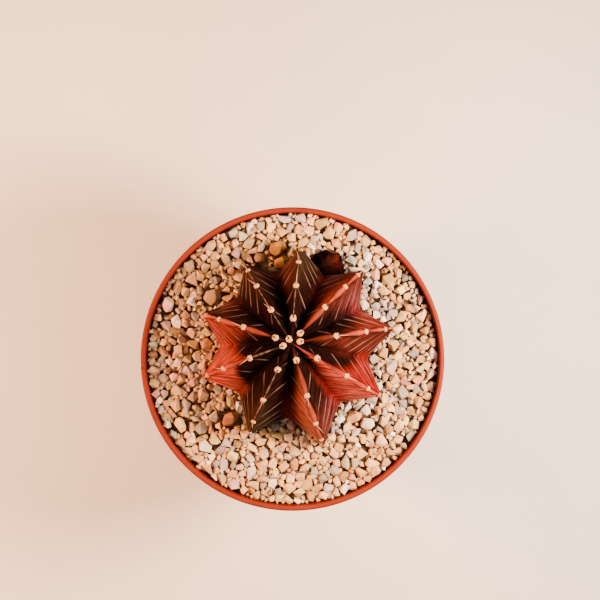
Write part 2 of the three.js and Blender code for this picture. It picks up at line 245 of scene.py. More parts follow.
def reshape(mesh: bpy.types.Mesh, place: np.ndarray, values: dict[str, np.ndarray]) -> None:
    """Moves every vertex and keeps values at them.

    Args:
        mesh: what is reshaped.
        place: where each vertex goes.
        values: what is kept, under its name.
    """
    mesh.vertices.foreach_set("co", place.astype(np.float32).ravel())
    for name, rows in values.items():
        keep_values(mesh, name, rows)
    mesh.update()


def lumps_at(points: np.ndarray) -> np.ndarray:
    """A smooth random value at each point, with lumps about one unit across."""
    return np.array([noise.noise(Vector(point)) for point in points])


def add_peg(bm: bmesh.types.BMesh, foot: float, tip: float, length: float, sides: int, place: Matrix) -> None:
    """Adds a closed cylinder or cone.

    Args:
        bm: what it is added to.
        foot: its radius at the lower end.
        tip: its radius at the upper end.
        length: how long it is.
        sides: how many sides it has.
        place: where its middle goes, with +Z along it.
    """
    bmesh.ops.create_cone(
        bm, cap_ends=True, segments=sides, radius1=foot, radius2=tip, depth=length, matrix=place
    )


def rub_off(bm: bmesh.types.BMesh, flat: float, width: float, facets: int) -> None:
    """Merges the faces of a stone that hardly turn and rubs off the edges that are left.

    Args:
        bm: the stone.
        flat: the turn, in degrees, under which faces are merged.
        width: the width of the rubbed edges.
        facets: how many facets round off each edge.
    """
    bmesh.ops.dissolve_limit(bm, angle_limit=math.radians(flat), verts=bm.verts, edges=bm.edges)
    bmesh.ops.bevel(
        bm, geom=bm.edges, offset=width, offset_type="OFFSET", segments=facets, profile=0.5, affect="EDGES",
        clamp_overlap=True, material=-1,
    )


class Heap:
    """Small shapes gathered into one mesh, with a value kept for each of their vertices."""

    def __init__(self) -> None:
        """Starts with nothing in it."""
        self.whole = bmesh.new()
        self.values: list = []

    def add(self, bm: bmesh.types.BMesh, values: Sequence) -> None:
        """Adds one shape and frees it.

        Args:
            bm: the shape.
            values: its vertices' values, in their order.
        """
        loose = bpy.data.meshes.new("loose")
        bm.to_mesh(loose)
        bm.free()
        self.whole.from_mesh(loose)
        bpy.data.meshes.remove(loose)
        self.values += values

    def mesh(self, name: str, key: str, smooth_under: float | None = None) -> bpy.types.Mesh:
        """Makes the one mesh.

        Args:
            name: the mesh's name.
            key: what the values are kept under.
            smooth_under: edges flatter than this many degrees are shaded smooth; None leaves every face flat.

        Returns:
            The mesh.
        """
        mesh = mesh_of(self.whole, name, smooth_under)
        keep_values(mesh, key, np.array(self.values, float))
        return mesh


def as_piece(
    mesh: bpy.types.Mesh, name: str, material: bpy.types.Material, stands_for: Sequence[str] = ()
) -> bpy.types.Object:
    """Puts a finished mesh in the scene.

    Args:
        mesh: the shape, with its place in its vertices.
        name: the piece's name.
        material: its finish.
        stands_for: the nodes of the frame that it replaces.

    Returns:
        The object, which rides on the only body.
    """
    mesh.materials.clear()
    mesh.materials.append(material)
    piece = into_scene(name, mesh)
    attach(piece, BODY)
    if stands_for:
        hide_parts(*stands_for)
    log.info("%s: %d faces", name, len(mesh.polygons))
    return piece


# ---------------------------------------------------------------- finishes


class Bench:
    """A material's node tree, with short calls that add a node, wire it and give back its output."""

    noise_roughness: float = 0.6

    def __init__(self, name: str) -> None:
        """Starts a material that holds one principled shader.

        Args:
            name: the material's name.
        """
        self.material = bpy.data.materials.new(name)
        self.material.use_nodes = True
        self.tree = self.material.node_tree
        self.shader = self.tree.nodes["Principled BSDF"]
        self.place = self.add("ShaderNodeTexCoord").outputs["Object"]

    def add(self, kind: str, wires: dict | None = None, **settings: object) -> bpy.types.Node:
        """Adds a node.

        Args:
            kind: the node's type.
            wires: what goes into each of its inputs, an output to link or a plain value.
            settings: the node's own properties.

        Returns:
            The node.
        """
        node = self.tree.nodes.new(kind)
        for key, value in settings.items():
            setattr(node, key, value)
        for key, value in (wires or {}).items():
            self.wire(value, node.inputs[key])
        return node

    def wire(self, value: object, socket: bpy.types.NodeSocket) -> None:
        """Links an output to an input, or sets the input to a plain value.

        Args:
            value: the output or the plain value. A colour may leave out its alpha.
            socket: the input.
        """
        if isinstance(value, bpy.types.NodeSocket):
            self.tree.links.new(value, socket)
        elif socket.type == "RGBA" and len(value) == 3:
            socket.default_value = (*value, 1)
        else:
            socket.default_value = value

    def noise(self, size: float, detail: float = 4, stretch: Triple = (1, 1, 1)) -> bpy.types.NodeSocket:
        """Lays a cloudy pattern.

        Args:
            size: about how large its lumps are.
            detail: how many finer layers it has.
            stretch: how much it is squeezed along each axis.

        Returns:
            Its value.
        """
        place = self.add("ShaderNodeMapping", {"Vector": self.place, "Scale": stretch}).outputs[0]
        wires = {"Vector": place, "Scale": 1 / size, "Detail": detail, "Roughness": self.noise_roughness}
        return self.add("ShaderNodeTexNoise", wires).outputs["Fac"]

    def cells(self, size: float) -> bpy.types.NodeSocket:
        """How far each place is from the middle of a cell of about the given size."""
        return self.add("ShaderNodeTexVoronoi", {"Vector": self.place, "Scale": 1 / size}).outputs["Distance"]

    def attribute(self, name: str, output: str = "Fac") -> bpy.types.NodeSocket:
        """What the mesh keeps for each vertex under a name."""
        return self.add("ShaderNodeAttribute", attribute_name=name).outputs[output]

    def ramp(self, value: bpy.types.NodeSocket, low: float, high: float) -> bpy.types.NodeSocket:
        """Stretches the part of a value between low and high over 0 to 1."""
        wires = {"Value": value, "From Min": low, "From Max": high}
        return self.add("ShaderNodeMapRange", wires, interpolation_type="SMOOTHSTEP").outputs["Result"]

    def blend(self, share: object, low: object, high: object, mode: str = "MIX") -> bpy.types.NodeSocket:
        """Lays one colour over another.

        Args:
            share: how much of the upper colour shows.
            low: the lower colour.
            high: the upper colour.
            mode: how they are laid together.

        Returns:
            The colour.
        """
        node = self.add("ShaderNodeMix", data_type="RGBA", blend_type=mode)
        for value, socket in ((share, node.inputs[0]), (low, node.inputs[6]), (high, node.inputs[7])):
            self.wire(value, socket)
        return node.outputs[2]

    def shaded(self, colour: object, shade: object) -> bpy.types.NodeSocket:
        """A colour multiplied by a shade."""
        return self.blend(1.0, colour, shade, "MULTIPLY")

    def shifted(self, vector: bpy.types.NodeSocket, scale: float) -> bpy.types.NodeSocket:
        """A vector moved by the place on the surface, so that a pattern differs from part to part."""
        wires = {0: self.place, 1: (scale / 3, scale / 4, scale), 2: vector}
        return self.add("ShaderNodeVectorMath", wires, operation="MULTIPLY_ADD").outputs[0]

    def sum(self, left: object, right: object, how: str = "ADD") -> bpy.types.NodeSocket:
        """Two values added, or put together in another way."""
        return self.add("ShaderNodeMath", {0: left, 1: right}, operation=how).outputs[0]

    def times(self, left: object, right: object) -> bpy.types.NodeSocket:
        """Two values multiplied."""
        return self.sum(left, right, "MULTIPLY")

    def colour(self, value: object) -> None:
        """Sets the surface's colour."""
        self.wire(value, self.shader.inputs["Base Color"])

    def roughness(self, value: bpy.types.NodeSocket, low: float, high: float) -> None:
        """Spreads a value over the surface's roughness, from low to high."""
        wires = {"Value": value, "To Min": low, "To Max": high}
        self.wire(self.add("ShaderNodeMapRange", wires).outputs["Result"], self.shader.inputs["Roughness"])

    def bumps(self, *layers: tuple[bpy.types.NodeSocket, float]) -> None:
        """Raises the surface.

        Args:
            layers: the value of each layer and how high it raises the surface.
        """
        normal = None
        for height, depth in layers:
            wires = {"Height": height, "Distance": depth, "Strength": 1.0}
            if normal is not None:
                wires["Normal"] = normal
            normal = self.add("ShaderNodeBump", wires).outputs["Normal"]
        self.wire(normal, self.shader.inputs["Normal"])

    def specular(self, level: float) -> None:
        """Sets how strongly the whole surface reflects, on the shader's own socket."""
        self.shader.inputs["Specular IOR Level"].default_value = level


@dataclass(frozen=True)
class PlasticFinish:
    """Terracotta-coloured moulded plastic, a little chalky, uneven where it is rubbed and dusty low down."""

    base: Colour = (0.17, 0.017, 0.0055)
    deep: Colour = (0.13, 0.011, 0.004)
    rubbed: Colour = (0.16, 0.018, 0.006)
    dust: Colour = (0.22, 0.08, 0.04)
    cloud_size: float = 14 * MM
    grain_size: float = 0.5 * MM
    flow_size: float = 3 * MM
    dust_size: float = 1.6 * MM
    dusty_height: float = 16 * MM
    dustiness: float = 0.55
    roughness: tuple[float, float] = (0.42, 0.66)
    specular: float = 0.10

    def material(self) -> bpy.types.Material:
        """Builds the material."""
        bench = Bench("pot_plastic")
        clouds = bench.noise(self.cloud_size, 5)
        grain = bench.noise(self.grain_size, 3)
        flow = bench.noise(self.flow_size, 3, (1, 1, 6))
        tone = bench.blend(bench.ramp(clouds, 0.3, 0.72), self.base, self.deep)
        worn = bench.ramp(bench.times(flow, bench.attribute("rubbed")), 0.35, 0.75)
        tone = bench.blend(worn, tone, self.rubbed)
        height = bench.add("ShaderNodeSeparateXYZ", {"Vector": bench.place}).outputs["Z"]
        low = bench.ramp(height, self.dusty_height, 0)
        dusty = bench.times(bench.ramp(bench.noise(self.dust_size, 6), 0.42, 0.75), low)
        bench.colour(bench.blend(bench.times(dusty, self.dustiness), tone, self.dust))
        bench.roughness(bench.sum(grain, dusty), *self.roughness)
        bench.bumps((grain, 0.03 * MM), (flow, 0.05 * MM))
        bench.specular(self.specular)
        return bench.material


@dataclass(frozen=True)
class SoilFinish:
    """Damp peaty potting mix with fibres and pale grains of grit."""

    peat: Colour = (0.022, 0.012, 0.007)
    crumb: Colour = (0.085, 0.048, 0.026)
    grit: Colour = (0.55, 0.5, 0.42)
    crumb_size: float = 1.4 * MM
    fibre_size: float = 0.7 * MM
    grit_spacing: float = 2.6 * MM
    roughness: tuple[float, float] = (0.8, 1.0)

    def material(self) -> bpy.types.Material:
        """Builds the material."""
        bench = Bench("potting_mix")
        crumbs = bench.cells(self.crumb_size)
        fibre = bench.noise(self.fibre_size, 6, (1, 4, 1))
        tone = bench.blend(bench.ramp(fibre, 0.35, 0.7), self.peat, self.crumb)
        specks = bench.ramp(bench.cells(self.grit_spacing), 0.22, 0.16)
        bench.colour(bench.blend(specks, tone, self.grit))
        bench.roughness(crumbs, *self.roughness)
        bench.bumps((crumbs, 0.8 * MM), (fibre, 0.3 * MM))
        return bench.material


@dataclass(frozen=True)
class StoneFinish:
    """Dull broken stone: mottled, finely pitted and specked.

    Attributes:
        name: the material's name.
        base: the colour of most of it.
        mottle: the colour of its clouds and veins.
        fleck: the colour of its small specks.
        flecked: how much of it the specks take, from 0 to 1.
        shine: how glossy it is, from 0 to 1.
        cloud_size: how large its clouds are.
        vein_size: how far apart its veins are.
        speck_size: how large its specks are.
        pit_size: how large its pits are.
    """

    name: str
    base: Colour
    mottle: Colour
    fleck: Colour = (0.16, 0.1, 0.06)
    flecked: float = 0.25
    shine: float = 0.1
    cloud_size: float = 1.7 * MM
    vein_size: float = 2.4 * MM
    speck_size: float = 0.6 * MM
    pit_size: float = 0.28 * MM

    def material(self) -> bpy.types.Material:
        """Builds the material, which reads each stone's own tone from the mesh; the fines get a darker tone
        there as painted shade.
        """
        bench = Bench(self.name)
        clouds = bench.noise(self.cloud_size, 5)
        pits = bench.noise(self.pit_size, 5)
        veins = bench.noise(self.vein_size, 3, (1, 1, 3.5))
        tone = bench.blend(bench.ramp(clouds, 0.34, 0.68), self.base, self.mottle)
        tone = bench.blend(bench.times(bench.ramp(veins, 0.54, 0.62), 0.35), tone, self.mottle)
        tone = bench.shaded(tone, bench.attribute("stone_tone", "Color"))
        specks = bench.ramp(bench.noise(self.speck_size, 4), mix(0.8, 0.52, self.flecked), 0.84)
        bench.colour(bench.blend(specks, tone, self.fleck))
        bench.roughness(pits, 0.86 - 0.5 * self.shine, 1.0 - 0.4 * self.shine)
        bench.bumps((pits, 0.09 * MM), (clouds, 0.12 * MM))
        bench.specular(0.3 + 0.3 * self.shine)
        return bench.material


@dataclass(frozen=True)
class SkinFinish:
    """The plant's waxy skin. Its colour, painted light and shade included, its raised bands and its crests
    come from the mesh.

    Attributes:
        name: the material's name.
        band: the colour of the raised bands.
        cork: the colour of the corky scuffs at the foot.
        dim: the darkest and the lightest shade that clouds give the pigment.
        streaked: the darkest and the lightest shade that streaks along the rows give it.
        streak_scale: how fine the streaks are along a row and across the rows.
        streak_drift: how fast the streaks change with the place on the surface.
        cloud_size: how large the clouds are.
        cell_size: how large the fine cells are.
        pore_size: how large the pores are.
        break_size: how large the gaps in the bands are.
        scuff_size: how large the scuffs are.
        roughness: the least and the most.
        specular: how strongly it reflects.
    """

    name: str = "cactus_skin"
    band: Colour = (0.17, 0.10, 0.080)
    cork: Colour = (0.17, 0.09, 0.05)
    dim: tuple[Colour, Colour] = ((0.75, 0.7, 0.7), (1.15, 1.12, 1.1))
    streaked: tuple[Colour, Colour] = ((0.36, 0.30, 0.30), (1.9, 2.2, 2.0))
    streak_scale: Triple = (1.5, 1.1, 1)
    streak_drift: float = 90
    cloud_size: float = 2.2 * MM
    cell_size: float = 0.22 * MM
    pore_size: float = 0.35 * MM
    break_size: float = 0.9 * MM
    scuff_size: float = 1.2 * MM
    roughness: tuple[float, float] = (0.6, 0.8)
    specular: float = 0.012

    def material(self) -> bpy.types.Material:
        """Builds the material."""
        bench = Bench(self.name)
        pigment = bench.attribute("pigment", "Color")
        clouds = bench.noise(self.cloud_size, 5)
        cells = bench.cells(self.cell_size)
        pores = bench.noise(self.pore_size)
        grid = bench.attribute("strand", "Vector")
        off_crest = bench.ramp(bench.add("ShaderNodeSeparateXYZ", {"Vector": grid}).outputs["Y"], 0.02, 0.14)
        strand = bench.add("ShaderNodeVectorMath", {0: grid, 1: self.streak_scale}, operation="MULTIPLY")
        wires = {"Vector": bench.shifted(strand.outputs[0], self.streak_drift), "Scale": 1.0, "Detail": 4}
        streaks = bench.add("ShaderNodeTexNoise", wires).outputs["Fac"]
        tone = bench.shaded(pigment, bench.blend(bench.ramp(clouds, 0.3, 0.75), *self.dim))
        streaky = bench.shaded(tone, bench.blend(bench.ramp(streaks, 0.36, 0.64), *self.streaked))
        tone = bench.blend(off_crest, tone, streaky)
        whole = bench.sum(bench.times(bench.ramp(bench.noise(self.break_size), 0.25, 0.6), 0.4), 0.5)
        tone = bench.blend(bench.times(bench.attribute("band"), whole), tone, self.band)
        scuffs = bench.times(bench.attribute("scuff"), bench.ramp(bench.noise(self.scuff_size, 6), 0.5, 0.66))
        bench.colour(bench.blend(scuffs, tone, self.cork))
        bench.roughness(clouds, *self.roughness)
        bench.bumps((cells, 0.02 * MM), (pores, 0.035 * MM))
        bench.specular(self.specular)
        return bench.material


@dataclass(frozen=True)
class WoolFinish:
    """Short cream felt, with dark brown painted shade down in the dimple that the spines grow from."""

    wool: Colour = (0.60, 0.35, 0.175)
    shadow: Colour = (0.40, 0.18, 0.085)
    # Painted shade down in the dimple.
    dimple: Colour = (0.060, 0.014, 0.006)
    fluff_size: float = 0.16 * MM
    roughness: tuple[float, float] = (0.9, 1.0)
    specular: float = 0.05

    def material(self) -> bpy.types.Material:
        """Builds the material."""
        bench = Bench("areole_wool")
        fluff = bench.noise(self.fluff_size, 5)
        tone = bench.blend(bench.ramp(fluff, 0.3, 0.6), self.shadow, self.wool)
        # Painted shade down in the dimple.
        bench.colour(bench.blend(bench.attribute("dimple"), tone, self.dimple))
        bench.roughness(fluff, *self.roughness)
        bench.bumps((fluff, 0.12 * MM))
        bench.specular(self.specular)
        return bench.material


@dataclass(frozen=True)
class SpineFinish:
    """Horny spines, straw-coloured with brown bases and a few darker rings."""

    straw: Colour = (0.52, 0.25, 0.16)
    horn: Colour = (0.22, 0.08, 0.035)
    ring_size: float = 0.5 * MM
    roughness: tuple[float, float] = (0.35, 0.55)

    def material(self) -> bpy.types.Material:
        """Builds the material."""
        bench = Bench("spine")
        rings = bench.noise(self.ring_size, 3)
        root = bench.ramp(bench.attribute("along"), 0.35, 0.0)
        share = bench.sum(root, bench.times(bench.ramp(rings, 0.5, 0.75), 0.4), "MAXIMUM")
        bench.colour(bench.blend(share, self.straw, self.horn))
        bench.roughness(rings, *self.roughness)
        bench.bumps((rings, 0.02 * MM))
        return bench.material


@dataclass(frozen=True)
class FloorFinish:
    """A plain pale studio surface."""

    pale: Colour = (0.80, 0.78, 0.76)
    grey: Colour = (0.76, 0.745, 0.73)
    cloud_size: float = 60 * MM
    roughness: tuple[float, float] = (0.7, 0.8)

    def material(self) -> bpy.types.Material:
        """Builds the material."""
        bench = Bench("studio_floor")
        clouds = bench.noise(self.cloud_size, 3)
        bench.colour(bench.blend(bench.ramp(clouds, 0.3, 0.7), self.pale, self.grey))
        bench.roughness(clouds, *self.roughness)
        return bench.material


# ---------------------------------------------------------------- the pot


@dataclass
class Pot:
    """The moulded pot: a tapered wall under a collar, a foot ring and a floor with drain holes."""

    height: float = 72 * MM
    rim_radius: float = 42.5 * MM
    rim_wall: float = 1.4 * MM
    collar: float = 11 * MM
    step: float = 1.3 * MM
    taper: float = 0.35 * MM
    wall: float = 1.3 * MM
    foot_radius: float = 29.5 * MM
    foot_height: float = 3 * MM
    foot_wall: float = 2.2 * MM
    floor: float = 1.6 * MM
    cove: float = 1.5 * MM
    drains_round: int = 6
    drain_ring: float = 17.5 * MM
    drain_radius: float = 3.2 * MM
    centre_drain: float = 4 * MM
    drain_sides: int = 48
    notches: int = 4
    notch: tuple[float, float] = (9 * MM, 1.6 * MM)  # width and height
    nick_bearing: float = math.radians(183.6)
    nick_radius: float = 0.32 * MM
    nick_length: float = 6 * MM
    nick_sides: int = 16
    lip_fillets: tuple[float, float] = (0.62 * MM, 0.4 * MM)  # outside and inside
    outer_fillet: float = 0.5 * MM
    inner_fillet: float = 0.6 * MM
    foot_fillet: float = 0.4 * MM
    firm_margin: float = 2 * MM
    steps: int = 192
    sharp_over: float = 40  # in degrees
    rubbed_within: float = 1.2 * MM  # of the lip and of the foot

    @property
    def under(self) -> float:
        """The height where the wall meets the step under the collar."""
        return self.height - self.collar - self.step

    @property
    def inner_step(self) -> tuple[float, float]:
        """The heights between which the inside widens into the collar."""
        return self.under + self.wall, self.height - self.collar + self.wall

    def outside(self, height: float) -> float:
        """The outside radius of the wall at a height below the collar."""
        return mix(self.foot_radius, self.rim_radius - self.step, height / self.height)

    def inside(self, height: float) -> float:
        """Works out the inside radius.

        Args:
            height: the height where it is wanted.

        Returns:
            The radius.
        """
        low, high = self.inner_step
        lip = self.rim_radius - self.rim_wall
        if height <= low:
            return self.outside(height) - self.wall
        if height >= high:
            return lip - self.taper * (self.height - height) / (self.collar - self.wall)
        return mix(self.outside(low) - self.wall, lip - self.taper, (height - low) / (high - low))

    def profile(self) -> list[Vector]:
        """The wall's half profile, from the middle of the underside round to the middle of the floor."""
        bottom = self.foot_height + self.floor
        low, high = self.inner_step
        inner_foot = self.foot_radius - self.foot_wall
        return rounded_outline(
            [
                (0, self.foot_height, 0),
                (inner_foot, self.foot_height, self.inner_fillet),
                (inner_foot, 0, self.foot_fillet),
                (self.foot_radius, 0, self.outer_fillet),
                (self.outside(self.under), self.under, self.outer_fillet),
                (self.rim_radius - self.taper, self.height - self.collar, self.outer_fillet),
                (self.rim_radius, self.height, self.lip_fillets[0]),
                (self.rim_radius - self.rim_wall, self.height, self.lip_fillets[1]),
                (self.inside(high), high, self.inner_fillet),
                (self.inside(low), low, self.inner_fillet),
                (self.inside(bottom), bottom, self.cove),
                (0, bottom, 0),
            ]
        )

    def cutter(self) -> bpy.types.Mesh:
        """The drain holes, the notches in the foot ring and a small nick in the lip, as one cutting tool."""
        bm = bmesh.new()
        holes = [(self.centre_drain, Vector((0, 0, self.foot_height)))]
        for i in range(self.drains_round):
            turn = Matrix.Rotation(2 * math.pi / self.drains_round * i, 4, "Z")
            holes.append((self.drain_radius, turn @ Vector((self.drain_ring, 0, self.foot_height))))
        for radius, place in holes:
            add_peg(bm, radius, radius, 4 * self.foot_height, self.drain_sides, Matrix.Translation(place))
        for i in range(self.notches):
            turn = Matrix.Rotation(2 * math.pi / self.notches * (i + 0.5), 4, "Z")
            size = Matrix.Diagonal((4 * self.foot_wall, self.notch[0], 2 * self.notch[1], 1))
            bmesh.ops.create_cube(bm, matrix=turn @ Matrix.Translation((self.foot_radius, 0, 0)) @ size)
        nick = Matrix.Rotation(self.nick_bearing, 4, "Z")
        nick = nick @ Matrix.Translation((self.rim_radius, 0, self.height))
        nick = nick @ Matrix.Rotation(math.pi / 2, 4, "Y")
        add_peg(bm, self.nick_radius, self.nick_radius, self.nick_length, self.nick_sides, nick)
        bmesh.ops.recalc_face_normals(bm, faces=bm.faces)
        return mesh_of(bm, "pot_cutter")

    def build(self, finish: PlasticFinish) -> bpy.types.Object:
        """Models and dresses the pot.

        Args:
            finish: its finish.

        Returns:
            The pot.
        """
        shell = mesh_of(turned(firmed(self.profile(), self.firm_margin), self.steps), "pot_shell")
        shell = cut(shell, self.cutter())
        shell.shade_smooth()
        shell.set_sharp_from_angle(angle=math.radians(self.sharp_over))
        height = positions(shell)[:, 2]
        lip = smoothstep(self.height - self.rubbed_within, self.height, height)
        foot = smoothstep(self.rubbed_within, 0, height)
        keep_values(shell, "rubbed", np.maximum(lip, foot))
        return as_piece(shell, "pot_shell", finish.material(), ["pot"])


# ---------------------------------------------------------------- the plant


class Tint(Enum):
    """The skin's pigments."""

    INK = (0.0070, 0.0018, 0.0014)
    UMBER = (0.029, 0.0115, 0.0070)
    OLIVE = (0.021, 0.011, 0.0056)
    MAROON = (0.058, 0.0065, 0.0050)
    WINE = (0.078, 0.0072, 0.0078)
    CHESTNUT = (0.054, 0.0098, 0.0072)
    SIENNA = (0.21, 0.062, 0.040)
    RUST = (0.17, 0.021, 0.0145)
    EMBER = (0.24, 0.021, 0.010)
    # Partly painted light: a red made brighter than the flank's own, for light that falls on the one flank
    # that uses it.
    FLAME = (0.48, 0.045, 0.026)
    CORAL = (0.62, 0.085, 0.060)
    CRIMSON = (0.155, 0.0055, 0.0058)
    MAGENTA = (0.072, 0.0095, 0.016)


class Crest(Enum):
    """What runs along a crest, a broad flat or a thin line: its colours near the crown and far out."""

    DIM = ((0.050, 0.008, 0.004), (0.28, 0.045, 0.024))
    SPINDLE = ((0.13, 0.024, 0.014), (0.30, 0.052, 0.028))
    LINE = ((0.105, 0.085, 0.070), (0.19, 0.105, 0.070))


@dataclass(frozen=True)
class Flank:
    """The colouring of one side of a rib. Near the crown it is as dark as ink.

    Attributes:
        crest: the pigment near the crest, further out.
        furrow: the pigment near the furrow, further out.
        start: where these begin at the crest, as a share of the way down from the crown to the widest level.
        lag: how much later they begin in the furrow.
        blend: over how much of the way they come in.
    """

    crest: Tint
    furrow: Tint
    start: float
    lag: float
    blend: float


@dataclass(frozen=True)
class Rib:
    """One rib.

    Attributes:
        bearing: its direction in degrees, anticlockwise from +X.
        reach: how far it reaches at the widest level.
        first_row: the row of its first areole.
        flat: the half width of the flat on its crest, where that is widest.
        lines: what runs along its crest inside and outside its second areole.
        left: the flank on its anticlockwise side.
        right: the flank on its clockwise side.
    """

    bearing: float
    reach: float
    first_row: int
    flat: float
    lines: tuple[Crest, Crest]
    left: Flank
    right: Flank

    @property
    def turn(self) -> float:
        """Its direction in radians."""
        return math.radians(self.bearing)


BROAD = (Crest.SPINDLE, Crest.SPINDLE)
DIM = (Crest.DIM, Crest.DIM)
THIN = (Crest.LINE, Crest.LINE)
DARK = Flank(Tint.UMBER, Tint.INK, 0.2, 0.4, 0.5)
GREENISH = Flank(Tint.OLIVE, Tint.INK, 0.2, 0.5, 0.4)
RIBS = (
    Rib(9, 27.6 * MM, 2, 0.75 * MM, DIM,
        Flank(Tint.RUST, Tint.WINE, 0.16, 0.55, 0.4),
        Flank(Tint.CHESTNUT, Tint.MAROON, -0.1, 0.4, 0.4)),
    Rib(47, 27.6 * MM, 3, 0.8 * MM, BROAD,
        Flank(Tint.RUST, Tint.MAROON, -0.04, 0.34, 0.45),
        Flank(Tint.CHESTNUT, Tint.MAGENTA, 0.05, 0.5, 0.5)),
    Rib(86, 26.8 * MM, 6, 0.3 * MM, THIN, Flank(Tint.UMBER, Tint.MAROON, 0.16, 0.34, 0.45), GREENISH),
    Rib(122, 26.0 * MM, 1, 0.3 * MM, THIN, DARK, Flank(Tint.UMBER, Tint.MAROON, 0.35, 0.3, 0.4)),
    Rib(162, 26.8 * MM, 4, 0.85 * MM, BROAD,
        Flank(Tint.RUST, Tint.RUST, 0.05, 0.44, 0.5),
        Flank(Tint.UMBER, Tint.MAROON, 0.2, 0.45, 0.5)),
    Rib(200, 27.3 * MM, 2, 0.5 * MM, (Crest.LINE, Crest.SPINDLE),
        # The left flank's bright red is partly painted light.
        Flank(Tint.FLAME, Tint.RUST, 0.34, 0.40, 0.1),
        Flank(Tint.EMBER, Tint.EMBER, 0.20, 0.42, 0.2)),
    Rib(243, 28.1 * MM, 7, 0.4 * MM, THIN, GREENISH, DARK),
    Rib(286, 28.9 * MM, 4, 0.85 * MM, BROAD,
        Flank(Tint.CHESTNUT, Tint.MAGENTA, 0.3, 0.35, 0.4),
        Flank(Tint.SIENNA, Tint.CRIMSON, 0.0, 0.35, 0.5)),
    Rib(329, 28.0 * MM, 7, 0.5 * MM, DIM,
        Flank(Tint.CRIMSON, Tint.CRIMSON, 0.16, 0.58, 0.26),
        Flank(Tint.CORAL, Tint.CRIMSON, -0.12, 0.36, 0.4)),
)


